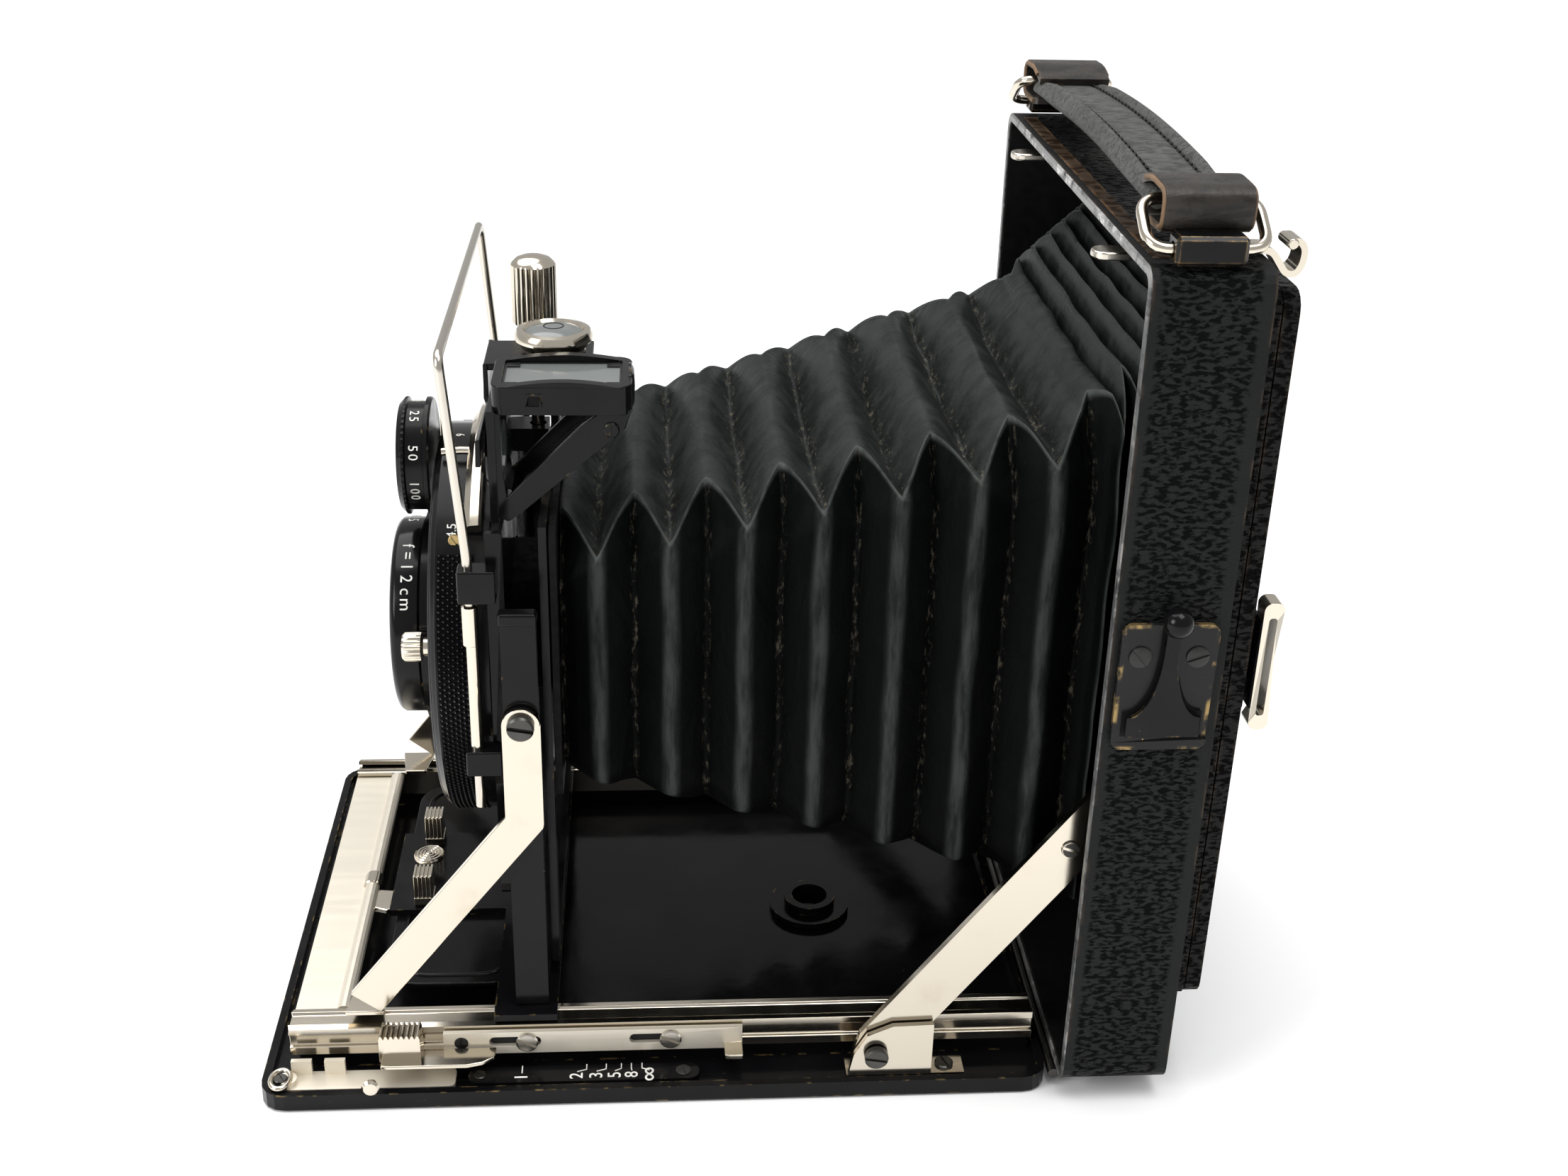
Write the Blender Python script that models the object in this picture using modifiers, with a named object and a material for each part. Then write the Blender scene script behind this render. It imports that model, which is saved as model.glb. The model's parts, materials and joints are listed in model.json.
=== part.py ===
"""Folding drop-bed plate camera, standing open on its bed. Metres, +Z up, lens facing -Y.

Helpers take millimetres. y is counted from the front plane of the case, and FRONT_PLANE moves it
so that the origin lies on the underside of the bed, halfway along it and on the centreline.
Near is the +X side, which carries the finder, the focusing grip and the bed latch; far is -X.
"""

import math

import bmesh
import bpy
from mathutils import Matrix, Vector

MM = 0.001
FRONT_PLANE = 62.0
GAP = 0.3  # between pieces that touch

# Driving sizes
CASE_HALF_WIDTH = 52.0
CASE_DEPTH = 16.5
CASE_BOTTOM = 3.3
CASE_TOP = 136.0
CASE_WALL = 1.6
BED_HALF_WIDTH = 49.3
BED_FRONT = -126.3
BED_REAR = -1.6
BED_FLOOR = 1.6
BED_RIM = 2.8
HINGE = (-0.4, 1.9)  # y, z of the hinge pin between case and bed
LENS_Z = 62.2
SHUTTER_RADIUS = 32.0
RAIL_X = (36.4, 41.6)
RAIL_Z = (4.5, 9.6)
STRUT_PIVOT = (-29.5, 7.0)
STRUT_ANGLE = 53.0
STRUT_LENGTH = 62.4
LEG_Y = (-86.6, -81.4)
BOARD_Y = (-88.6, -86.9)
KNOB_X = -16.0
SCREW_Y = -83.4
STRAP_Y = 7.4
RING_PIVOT = (49.8, 138.1)  # x, z of the bar of a handle ring that its clip holds
RING_LENGTH = 9.0
RING_TILT = 33.0
WIRE_X = 36.0

COLOURS = {  # base colour, roughness, metallic
    "leather": ((0.022, 0.021, 0.02), 0.6, 0.0),
    "strap_leather": ((0.03, 0.028, 0.026), 0.55, 0.0),
    "enamel": ((0.008, 0.008, 0.009), 0.2, 0.0),
    "nickel": ((0.78, 0.73, 0.62), 0.2, 1.0),
    "steel": ((0.35, 0.34, 0.32), 0.35, 1.0),
    "brass": ((0.45, 0.32, 0.12), 0.4, 1.0),
    "bellows": ((0.02, 0.021, 0.021), 0.75, 0.0),
    "glass": ((0.85, 0.9, 0.88), 0.05, 0.0),
    "frosted_glass": ((0.8, 0.83, 0.8), 0.6, 0.0),
}


def clear_scene():
    for old in list(bpy.data.objects):
        bpy.data.objects.remove(old, do_unlink=True)


clear_scene()
PARTS = bpy.data.collections.new("plate_camera")
CUTTERS = bpy.data.collections.new("cutters")
bpy.context.scene.collection.children.link(PARTS)
bpy.context.scene.collection.children.link(CUTTERS)


def make_materials():
    made = {}
    for name, (colour, roughness, metallic) in COLOURS.items():
        material = bpy.data.materials.new(name)
        material.use_nodes = True
        shader = material.node_tree.nodes["Principled BSDF"]
        shader.inputs["Base Color"].default_value = (*colour, 1.0)
        shader.inputs["Roughness"].default_value = roughness
        shader.inputs["Metallic"].default_value = metallic
        made[name] = material
    return made


MATERIALS = make_materials()


def world(x, y, z):
    return Vector((x, y + FRONT_PLANE, z)) * MM


def add(name, mesh, material, pivot=None):
    """Puts a mesh made in world metres into the scene, with its origin on the pivot if it has one."""
    obj = bpy.data.objects.new(name, mesh)
    if pivot is not None:
        mesh.transform(Matrix.Translation(-world(*pivot)))
        obj.location = world(*pivot)
    mesh.materials.append(MATERIALS[material])
    PARTS.objects.link(obj)
    return obj


def from_bmesh(name, bm, material, pivot=None):
    bmesh.ops.recalc_face_normals(bm, faces=bm.faces)
    if bm.calc_volume(signed=True) < 0:
        bmesh.ops.reverse_faces(bm, faces=bm.faces)
    mesh = bpy.data.meshes.new(name)
    bm.to_mesh(mesh)
    bm.free()
    return add(name, mesh, material, pivot)


def block(name, x, y, z, material="enamel", pivot=None, bevel=0.0):
    """A box between the two ends of x, y and z."""
    bm = bmesh.new()
    bmesh.ops.create_cube(bm, size=1.0)
    low, high = world(x[0], y[0], z[0]), world(x[1], y[1], z[1])
    for v in bm.verts:
        v.co = Vector(low[i] if v.co[i] < 0 else high[i] for i in range(3))
    if bevel:
        edges = list(bm.edges)
        bmesh.ops.bevel(bm, geom=edges, offset=bevel * MM, segments=1, affect="EDGES")
    return from_bmesh(name, bm, material, pivot)


def along(axis):
    """Turns +Z to the named direction."""
    turn = {"x": ("Y", 90), "-x": ("Y", -90), "y": ("X", -90), "-y": ("X", 90), "z": ("X", 0)}[axis]
    return Matrix.Rotation(math.radians(turn[1]), 4, turn[0])


def cylinder(name, axis, start, radius, length, material="nickel", pivot=None, sides=24, end=None):
    """A cylinder, or a cone if end is given, from start along axis."""
    bm = bmesh.new()
    place = Matrix.Translation(world(*start)) @ along(axis) @ Matrix.Translation((0, 0, length / 2 * MM))
    bmesh.ops.create_cone(bm, cap_ends=True, segments=sides, radius1=radius * MM,
                          radius2=(radius if end is None else end) * MM, depth=length * MM, matrix=place)
    return from_bmesh(name, bm, material, pivot)


def ball(name, centre, radius, material="nickel"):
    bm = bmesh.new()
    bmesh.ops.create_uvsphere(bm, u_segments=14, v_segments=8, radius=radius * MM,
                              matrix=Matrix.Translation(world(*centre)))
    return from_bmesh(name, bm, material)


def turned(name, centre, axis, profile, material, steps=40, closed=False):
    """A turned shape: profile points are (radius, height along axis), outer side top to bottom."""
    mesh = bpy.data.meshes.new(name)
    points = [(r * MM, 0.0, h * MM) for r, h in profile]
    edges = [(i, i + 1) for i in range(len(points) - 1)]
    if closed:
        edges.append((len(points) - 1, 0))
    mesh.from_pydata(points, edges, [])
    mesh.materials.append(MATERIALS[material])
    obj = bpy.data.objects.new(name, mesh)
    obj.matrix_world = Matrix.Translation(world(*centre)) @ along(axis)
    screw = obj.modifiers.new("turn", "SCREW")
    screw.steps = screw.render_steps = steps
    screw.use_merge_vertices = True
    screw.merge_threshold = 0.00001
    PARTS.objects.link(obj)
    return obj


def ring(name, centre, axis, outer, inner, low, high, material, steps=40):
    profile = [(outer, high), (outer, low), (inner, low), (inner, high)]
    return turned(name, centre, axis, profile, material, steps, closed=True)


def solid_of(obj):
    """Makes a curve object's evaluated shape a mesh with its caps welded, and removes the curve."""
    graph = bpy.context.evaluated_depsgraph_get()
    mesh = bpy.data.meshes.new_from_object(obj.evaluated_get(graph))
    mesh.transform(obj.matrix_world)
    bpy.data.objects.remove(obj, do_unlink=True)
    bm = bmesh.new()
    bm.from_mesh(mesh)
    bmesh.ops.remove_doubles(bm, verts=bm.verts, dist=1e-6)
    bmesh.ops.dissolve_degenerate(bm, edges=bm.edges, dist=1e-7)
    bpy.data.meshes.remove(mesh)
    return bm


def plate(name, outlines, axis, low, high, material="enamel", pivot=None):
    """A flat outline, with holes as further outlines, from low to high along axis.

    Outline points are (y, z) along x, (x, z) along y and (x, y) along z."""
    curve = bpy.data.curves.new(name, "CURVE")
    curve.dimensions = "2D"
    curve.fill_mode = "BOTH"
    curve.extrude = (high - low) / 2 * MM
    for outline in outlines:
        spline = curve.splines.new("POLY")
        spline.points.add(len(outline) - 1)
        spline.use_cyclic_u = True
        for point, (u, v) in zip(spline.points, outline):
            point.co = (u * MM, v * MM, 0.0, 1.0)
    guide = bpy.data.objects.new(name + "_outline", curve)
    CUTTERS.objects.link(guide)
    bpy.context.view_layer.update()
    bm = solid_of(guide)
    middle = (low + high) / 2 * MM
    for v in bm.verts:
        a, b, c = v.co.x, v.co.y, v.co.z + middle
        point = {"x": (c, a, b), "y": (a, c, b), "z": (a, b, c)}[axis]
        v.co = Vector(point) + Vector((0.0, FRONT_PLANE * MM, 0.0))
    return from_bmesh(name, bm, material, pivot)


def wire(name, points, radius, material="nickel", cyclic=False, pivot=None):
    """A round wire through the points."""
    curve = bpy.data.curves.new(name, "CURVE")
    curve.dimensions = "3D"
    curve.bevel_depth = radius * MM
    curve.bevel_resolution = 2
    curve.use_fill_caps = True
    spline = curve.splines.new("POLY")
    spline.points.add(len(points) - 1)
    spline.use_cyclic_u = cyclic
    for point, where in zip(spline.points, points):
        point.co = (*world(*where), 1.0)
    guide = bpy.data.objects.new(name + "_route", curve)
    CUTTERS.objects.link(guide)
    bpy.context.view_layer.update()
    return from_bmesh(name, solid_of(guide), material, pivot)


def boolean(obj, operation, tools):
    for tool in tools:
        modifier = obj.modifiers.new(operation.lower() + "_" + tool.name, "BOOLEAN")
        modifier.operation = operation
        modifier.solver = "EXACT"
        modifier.object = tool
        PARTS.objects.unlink(tool)
        CUTTERS.objects.link(tool)
        tool.name = "tool_" + tool.name
        tool.display_type = "WIRE"
        tool.hide_render = True
    return obj


def cut(obj, *tools):
    return boolean(obj, "DIFFERENCE", tools)


def fuse(obj, *tools):
    return boolean(obj, "UNION", tools)


def rounded(x, y, radius, steps=4):
    """A rectangle's outline between the ends of x and y, with round corners."""
    points = []
    for cx, cy, start in ((x[1], y[1], 0), (x[0], y[1], 90), (x[0], y[0], 180), (x[1], y[0], 270)):
        sx, sy = (-1 if cx == x[1] else 1), (-1 if cy == y[1] else 1)
        for i in range(steps + 1):
            a = math.radians(start + 90 * i / steps)
            points.append((cx + radius * (sx + math.cos(a)), cy + radius * (sy + math.sin(a))))
    return points


def circle(cx, cy, radius, sides=20):
    return [(cx + radius * math.cos(math.tau * i / sides), cy + radius * math.sin(math.tau * i / sides))
            for i in range(sides)]


def rectangle(x, y):
    return [(x[0], y[0]), (x[1], y[0]), (x[1], y[1]), (x[0], y[1])]


def ribbon(points, thickness):
    """The outline of a strip of even thickness along the points."""
    left, right = [], []
    for i, (u, v) in enumerate(points):
        before = Vector(points[max(i - 1, 0)])
        after = Vector(points[min(i + 1, len(points) - 1)])
        if 0 < i < len(points) - 1:
            a, b = (Vector((u, v)) - before).normalized(), (after - Vector((u, v))).normalized()
            direction = (a + b).normalized()
            stretch = 1 / max(direction.dot(a), 0.5)
        else:
            direction, stretch = (after - before).normalized(), 1.0
        side = Vector((-direction.y, direction.x)) * thickness / 2 * stretch
        left.append((u + side.x, v + side.y))
        right.append((u - side.x, v - side.y))
    return left + right[::-1]


def sided(side, low, high):
    """The two ends of an x range on the near side, +1, or the far side, -1."""
    return (low, high) if side > 0 else (-high, -low)


SIDES = (("near", 1), ("far", -1))


# The case and its back

def case():
    outer = rounded((-CASE_HALF_WIDTH, CASE_HALF_WIDTH), (CASE_BOTTOM, CASE_TOP), 3.0)
    inner = rounded((CASE_WALL - CASE_HALF_WIDTH, CASE_HALF_WIDTH - CASE_WALL),
                    (CASE_BOTTOM + CASE_WALL, CASE_TOP - CASE_WALL), 1.6, 2)
    plate("case_shell", [outer, inner], "y", 0.0, CASE_DEPTH, "leather")
    inset = CASE_WALL + GAP
    outer = rounded((inset - CASE_HALF_WIDTH, CASE_HALF_WIDTH - inset), (CASE_BOTTOM + inset, CASE_TOP - inset), 2.2, 2)
    plate("back_panel", [outer, rectangle((-43, 43), (12.5, 126.5))], "y", 14.6, 16.2)
    plate("closing_catch", [closing_catch_outline()], "z", 131.9, 133.1, "nickel")
    block("hinge_leaf", (-36, 36), (0.9, 9.0), (2.2, 3.0), "steel")


def closing_catch_outline():
    """A strip under the case's top wall, with two tabs that reach forward of the case."""
    points = [(44.0, 9.0), (-44.0, 9.0), (-44.0, 6.0)]
    for centre in (-31.0, 31.0):
        points += [(centre - 2.2, 6.0), (centre - 2.2, -3.4), (centre - 1.2, -4.6),
                   (centre + 1.2, -4.6), (centre + 2.2, -3.4), (centre + 2.2, 6.0)]
    return points + [(44.0, 6.0)]


def ground_glass_back():
    outline = rounded((-46, 46), (15.0, 131.5), 3.0)
    plate("back_frame", [outline, rectangle((-43.3, 43.3), (18.2, 128.3))], "y", 16.8, 19.6, "leather")
    block("ground_glass", (-43, 43), (17.1, 18.6), (18.5, 128.0), "frosted_glass")
    hinge = (-46.6, 21.2, 0.0)
    plate("hood_lid", [rounded((-45.8, 45.8), (15.2, 131.3), 3.0)], "y", 19.9, 22.2, "leather", hinge)
    lid = bpy.data.objects["hood_lid"]
    fuse(lid, block("lid_catch_base", (35.0, 43.6), (22.0, 23.1), (67, 83)))
    block("hood_catch", (42.9, 46.2), (23.4, 26.4), (64.6, 85.4), "nickel", bevel=0.5)


def back_catch():
    """A sprung nickel strip that hooks over the top of the back."""
    middle = [(13.0, 137.0), (17.0, 137.0), (17.6, 133.8), (19.0, 133.8), (19.7, 137.2), (21.4, 137.0), (21.6, 132.4)]
    plate("back_catch", [ribbon(middle, 0.9)], "x", 41.5, 45.7, "nickel", (43.6, 13.4, 137.0))


def bed_latch():
    plate("latch_plate", [rounded((1.0, 15.0), (65.5, 85.6), 1.6)], "x", 52.3, 53.1)
    screws = [cylinder("latch_screw_%d" % i, "x", (52.8, y, 80.6), 1.7, 0.55, sides=16)
              for i, y in enumerate((3.9, 12.1))]
    fuse(bpy.data.objects["latch_plate"], *screws)
    tongue = [(7.0, 86.8), (7.0, 77.0), (6.2, 74.0), (4.6, 72.0), (2.8, 71.2), (2.8, 68.2),
              (13.2, 68.2), (13.2, 71.2), (11.4, 72.0), (9.8, 74.0), (9.0, 77.0), (9.0, 86.8)]
    plate("latch_tongue", [tongue], "x", 53.7, 54.6, pivot=(54.1, 8.0, 69.0))
    fuse(bpy.data.objects["latch_tongue"], ball("latch_ball", (55.4, 8.0, 87.4), 2.2))


# The handle

def handle_parts():
    for label, side in SIDES:
        clip = block("handle_clip_" + label, sided(side, 47.6, 51.8), (STRAP_Y - 4.8, STRAP_Y + 4.8),
                     (CASE_TOP + GAP, 140.2), bevel=0.5)
        tunnel = cylinder("clip_tunnel_" + label, "y", (side * RING_PIVOT[0], STRAP_Y - 10, RING_PIVOT[1]),
                          1.15, 20, sides=12)
        cut(clip, tunnel)
        tilt = math.radians(RING_TILT)
        inner_x = side * (RING_PIVOT[0] - RING_LENGTH * math.cos(tilt))
        inner_z = RING_PIVOT[1] + RING_LENGTH * math.sin(tilt)
        outer_x = side * RING_PIVOT[0]
        corners = [(outer_x, STRAP_Y - 8.2, RING_PIVOT[1]), (outer_x, STRAP_Y + 8.2, RING_PIVOT[1]),
                   (inner_x, STRAP_Y + 8.2, inner_z), (inner_x, STRAP_Y - 8.2, inner_z)]
        pivot = (outer_x, STRAP_Y, RING_PIVOT[1])
        wire("handle_ring_" + label, corners, 0.8, "nickel", cyclic=True, pivot=pivot)


def strap():
    """The strap in profile: flat in the middle, with a loop at each end round a slot for its ring."""
    upper, lower = [], []
    for i in range(13):
        x = -36.0 + 6.0 * i
        rise = 0.9 * math.cos(x / 36.0 * math.pi / 2)
        upper.append((x, 143.0 + rise))
        lower.append((x, 140.4 + rise))
    loop = [(40.0, 145.2), (43.5, 145.7), (46.8, 145.1), (48.4, 143.0), (47.4, 140.9), (44.0, 139.6), (40.0, 139.3)]
    mirrored = [(-x, z) for x, z in reversed(loop)]
    outline = mirrored + upper + loop + lower[::-1]
    slot = rounded((40.9, 46.6), (141.5, 144.5), 1.2, 2)
    other = [(-x, z) for x, z in slot]
    plate("handle_strap", [outline, slot, other], "y", STRAP_Y - 6.3, STRAP_Y + 6.3, "strap_leather")


# The bed

def bed():
    outline = rounded((-BED_HALF_WIDTH, BED_HALF_WIDTH), (BED_FRONT, BED_REAR), 4.0)
    hole = circle(0.0, -36.2, 4.95, 24)
    slots = [rectangle((x - 3.0, x + 3.0), (-124.4, -122.6)) for x in (-29.0, 29.0)]
    plate("bed_plate", [outline, hole, *slots], "z", 0.0, BED_FLOOR)
    inset = 1.3
    inner = rounded((inset - BED_HALF_WIDTH, BED_HALF_WIDTH - inset), (BED_FRONT + inset, BED_REAR - inset), 3.0)
    outer = rounded((-BED_HALF_WIDTH, BED_HALF_WIDTH), (BED_FRONT, BED_REAR), 4.0)
    rim = plate("bed_rim", [outer, inner], "z", BED_FLOOR - 0.4, BED_RIM)
    tracks = [block("track_" + label, sided(side, 37.2, 40.8), (-121.0, -3.6), (BED_FLOOR - 0.5, 4.2))
              for label, side in SIDES]
    fuse(bpy.data.objects["bed_plate"], rim, *tracks)
    profile = [(4.6, 4.4), (4.6, 2.9), (7.2, 2.9), (7.2, 1.9), (4.6, 1.9), (4.6, 0.2), (3.2, 0.2), (3.2, 4.4)]
    turned("tripod_bush", (0.0, -36.2, 0.0), "z", profile, "steel", 24, closed=True)
    cylinder("hinge_pin", "x", (-47.5, *HINGE), 0.9, 95.0, "steel", sides=12)
    plate("distance_scale", [rounded((43.9, 47.6), (-94.0, -57.5), 1.6, 3)], "z", 1.9, 3.0)


def stop_bracket():
    """A nickel bracket at the bed's front corner, with two raised tabs and an eye for its screw."""
    base = plate("stop_bracket", [rounded((43.4, 47.7), (-122.6, -96.0), 0.8, 2)], "z", 1.9, 2.7, "nickel")
    tabs = [block("stop_tab_%d" % i, (43.4, 44.2), (y, y + 3.2), (2.4, 5.3), "nickel")
            for i, y in enumerate((-121.8, -116.6))]
    head = cylinder("stop_screw", "z", (45.8, -122.2, 1.9), 1.5, 1.6, "steel", sides=16)
    fuse(base, *tabs, head)


def strut_parts():
    py, pz = STRUT_PIVOT
    for label, side in SIDES:
        foot = block("strut_bracket_" + label, sided(side, 43.4, 47.5), (-34.0, -15.0), (1.9, 2.7), "nickel")
        ear = [(-34.0, 1.9), (-20.5, 1.9), (-20.5, 12.6), (-27.0, 12.4), (-31.0, 10.6), (-33.0, 7.0)]
        ear_low, ear_high = sided(side, 47.0, 47.9)
        upright = plate("strut_ear_" + label, [ear], "x", ear_low, ear_high, "nickel")
        hole_start = (side * 44.0, py, pz)
        axis = "x" if side > 0 else "-x"
        cut(fuse(foot, upright), cylinder("ear_hole_" + label, axis, hole_start, 1.5, 6, sides=14))
        screw = cylinder("strut_screw_" + label, axis, (side * 45.2, py, pz), 1.15, 3.4, "steel", sides=14)
        fuse(screw, cylinder("strut_screw_head_" + label, axis, (side * 48.2, py, pz), 1.9, 0.8, "steel", sides=20))
        strut(label, side)


def strut(label, side):
    """A flat bar from the bed bracket to the case's side, with a rounded lower end and a rivet."""
    angle = math.radians(STRUT_ANGLE)
    forward = Vector((math.cos(angle), math.sin(angle)))
    across = Vector((-forward.y, forward.x))
    pivot = Vector(STRUT_PIVOT)
    points = [(STRUT_LENGTH + 1.5, -2.4), (STRUT_LENGTH + 1.5, 2.4), (STRUT_LENGTH - 2.0, 3.95), (1.0, 3.95)]
    points += [(-3.2, 2.3), (-4.0, 0.0), (-3.2, -2.3), (1.0, -3.95), (STRUT_LENGTH - 2.0, -3.95)]
    outline = [tuple(pivot + forward * a + across * b) for a, b in points]
    hole = circle(*STRUT_PIVOT, 1.5, 14)
    low, high = sided(side, 45.5, 46.7)
    bar = plate("strut_" + label, [outline, hole], "x", low, high, "nickel",
                (side * 46.1, *STRUT_PIVOT))
    stud = pivot + forward * STRUT_LENGTH * 0.75
    axis = "x" if side > 0 else "-x"
    fuse(bar, cylinder("strut_rivet_" + label, axis, (side * 46.2, stud.x, stud.y), 1.4, 0.9, sides=14))


# The focusing rails

def rails():
    for label, side in SIDES:
        block("rail_" + label, sided(side, *RAIL_X), (-122.3, -3.2), RAIL_Z, "nickel", bevel=0.35)
    cross = block("cross_plate", (-36.1, 36.1), (-122.2, -115.4), (7.4, 8.6), "nickel")
    fuse(cross, cylinder("cross_rod", "x", (-36.1, -114.4, 8.5), 1.25, 72.2, sides=14))


def focus_grip():
    grip = block("focus_grip", (41.9, 45.6), (-107.7, -101.2), (5.9, 10.9), "nickel", bevel=0.3)
    flange = plate("grip_flange", [[(43.2, -107.4), (47.4, -107.4), (47.4, -92.0), (45.2, -89.6), (43.2, -89.6)]],
                   "z", 5.8, 6.8, "nickel")
    fuse(grip, flange)


def index_plate():
    """The slotted plate on the near rail, with its pointer in front and its hook behind."""
    outline = [(-98.0, 8.9), (-98.0, 5.4), (-95.5, 4.8), (-50.5, 4.8), (-50.5, 8.9)]
    slots = [rounded((start, start + 8.2), (6.2, 8.0), 0.8, 2) for start in (-90.8, -68.6)]
    base = plate("index_plate", [outline, *slots], "x", 41.9, 42.6, "nickel")
    hook = plate("index_hook", [rectangle((42.2, 45.8), (-53.4, -50.5))], "z", 5.0, 5.8, "nickel")
    fuse(base, hook)


# The standard on the rails

def carriage():
    outline = [(-41.2, -80.0), (-41.2, -90.0), (-12.0, -90.0), (-12.0, -110.0), (12.0, -110.0),
               (12.0, -90.0), (41.2, -90.0), (41.2, -80.0)]
    plate("carriage", [outline], "z", 9.9, 11.1)
    for label, side in SIDES:
        grip = block("pinch_grip_" + label, sided(side, 7.4, 11.2), (-105.8, -102.4), (11.4, 13.0), "nickel")
        fuse(grip, block("pinch_tab_" + label, sided(side, 9.2, 11.2), (-105.8, -102.4), (12.2, 17.4), "nickel"))
    stem = cylinder("lock_button", "z", (0.0, -104.2, 12.7), 1.0, 1.6, sides=14)
    fuse(stem, cylinder("button_cap", "z", (0.0, -104.2, 14.0), 2.7, 0.9, sides=24, end=2.2))


def standard_frames():
    legs = [(-38.8, 80.5), (-38.8, 11.4), (38.8, 11.4), (38.8, 80.5), (36.6, 80.5), (36.6, 13.6),
            (-36.6, 13.6), (-36.6, 80.5)]
    plate("u_frame", [legs], "y", *LEG_Y)
    outer = [(-31, 13.9), (31, 13.9), (31, 91.2), (KNOB_X + 3.5, 91.2), (KNOB_X + 3.5, 104.7), (KNOB_X - 3.5, 104.7),
             (KNOB_X - 3.5, 91.2), (-31, 91.2)]
    inner = rectangle((-27, 27), (18.0, 87.8))
    arch = plate("rear_frame", [outer, inner], "y", -81.1, -79.9)
    bearing = block("screw_bearing", (KNOB_X - 3.5, KNOB_X + 3.5), (-85.6, -80.6), (101.5, 104.7))
    hole = cylinder("bearing_hole", "z", (KNOB_X, SCREW_Y, 98.0), 1.5, 10, sides=12)
    cut(fuse(arch, bearing), hole)


def braces():
    """Bent nickel strips from the sides of the frame down to the front of the rails."""
    middle = [(-84.0, 66.0), (-84.0, 46.5), (-110.0, 13.4)]
    for label, side in SIDES:
        low, high = sided(side, 39.4, 40.3)
        strip = plate("brace_" + label, [ribbon(middle, 5.6)], "x", low, high, "nickel")
        axis = "x" if side > 0 else "-x"
        screw = cylinder("brace_screw_" + label, axis, (side * 39.8, -84.0, 63.2), 2.0, 1.1, sides=18)
        foot = block("brace_foot_" + label, sided(side, 33.0, 40.2), (-112.6, -107.8), (10.9, 11.8), "nickel")
        fuse(strip, screw, foot)


def rise_knob():
    profile = [(0.0, 118.9), (2.4, 118.6), (3.65, 117.7), (3.65, 107.4), (2.0, 107.2), (2.0, 105.0),
               (1.1, 105.0), (1.1, 84.4), (0.0, 84.4)]
    turned("rise_knob", (KNOB_X, SCREW_Y, 0.0), "z", profile, "nickel", 24)


# The lens board and all that it carries

def lens_board():
    outline = rounded((-33.6, 33.6), (28.0, 98.0), 3.0, 3)
    board = plate("lens_board", [outline, circle(0.0, LENS_Z, 13.0, 32)], "y", *BOARD_Y)
    notch = block("finder_notch", (9.4, 36.0), (-92.0, -84.0), (87.6, 101.0))
    nut = block("rise_nut", (KNOB_X - 3.0, KNOB_X + 3.0), (-87.5, -81.6), (86.0, 90.0))
    hole = cylinder("nut_hole", "z", (KNOB_X, SCREW_Y, 80.0), 1.45, 14, sides=12)
    cut(fuse(board, nut), hole, notch)
    frame = plate("bellows_front_frame", [rounded((-32.0, 32.0), (45.5, 91.0), 2.0, 2), circle(0.0, LENS_Z, 13.0, 32)],
                  "y", -79.5, -78.5)
    ring("rear_barrel", (0.0, 0.0, LENS_Z), "-y", 12.6, 11.0, 74.8, 89.2, "enamel", 36)
    return board, frame


def shutter():
    centre = (0.0, 0.0, LENS_Z)
    profile = [(SHUTTER_RADIUS, 97.4), (SHUTTER_RADIUS, 89.0), (14.2, 89.0), (14.2, 98.0), (31.2, 98.0)]
    turned("shutter_body", centre, "-y", profile, "enamel", 64, closed=True)
    profile = [(15.6, 106.0), (16.2, 105.4), (16.2, 101.4), (17.6, 101.2), (17.6, 98.3), (13.1, 98.3),
               (13.1, 105.0), (14.4, 106.0)]
    turned("lens_bezel", centre, "-y", profile, "enamel", 40, closed=True)
    profile = [(0.0, 104.3), (6.5, 103.7), (12.7, 101.4), (12.7, 98.6), (0.0, 98.6)]
    turned("front_lens", centre, "-y", profile, "glass", 32)
    profile = [(0.0, 77.0), (10.7, 77.0), (10.7, 74.6), (5.5, 73.6), (0.0, 73.2)]
    turned("rear_lens", centre, "-y", profile, "glass", 28)


def aperture_ring():
    """The aperture ring shows as an arc over the top of the shutter, with a pointer reaching forward."""
    low, high, steps = -48.0, 48.0, 20
    angles = [math.radians(low + (high - low) * i / steps) for i in range(steps + 1)]
    outline = [(34.4 * math.sin(a), LENS_Z + 34.4 * math.cos(a)) for a in angles]
    outline += [(32.4 * math.sin(a), LENS_Z + 32.4 * math.cos(a)) for a in reversed(angles)]
    arc = plate("aperture_ring", [outline], "y", -92.0, -89.0, "nickel", (0.0, -90.5, LENS_Z))
    tip = math.radians(15.0)
    across, up = Vector((math.cos(tip), -math.sin(tip))), Vector((math.sin(tip), math.cos(tip)))
    corners = [up * 32.5 - across * 0.8, up * 32.5 + across * 0.8, up * 34.0 + across * 0.8, up * 34.0 - across * 0.8]
    pointer = plate("aperture_pointer", [[(c.x, c.y + LENS_Z) for c in corners]], "y", -96.9, -91.0, "nickel")
    fuse(arc, pointer)


def shutter_controls():
    dial = [(0.0, 104.2), (8.9, 104.2), (9.5, 103.4), (9.5, 99.0), (0.0, 99.0)]
    turned("speed_dial", (0.0, 0.0, 90.4), "-y", dial, "enamel", 32)
    knob = [(0.0, 103.2), (2.3, 103.2), (2.3, 100.0), (1.5, 99.8), (1.5, 98.5), (0.0, 98.5)]
    turned("mode_knob", (21.5, 0.0, 67.0), "-y", knob, "nickel", 20)
    lever("cocking_lever", (-13.0, 84.5), (-16.5, 98.5), 1.4)
    lever("release_lever", (-24.5, 56.0), (-35.5, 48.5), 1.3)


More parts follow.
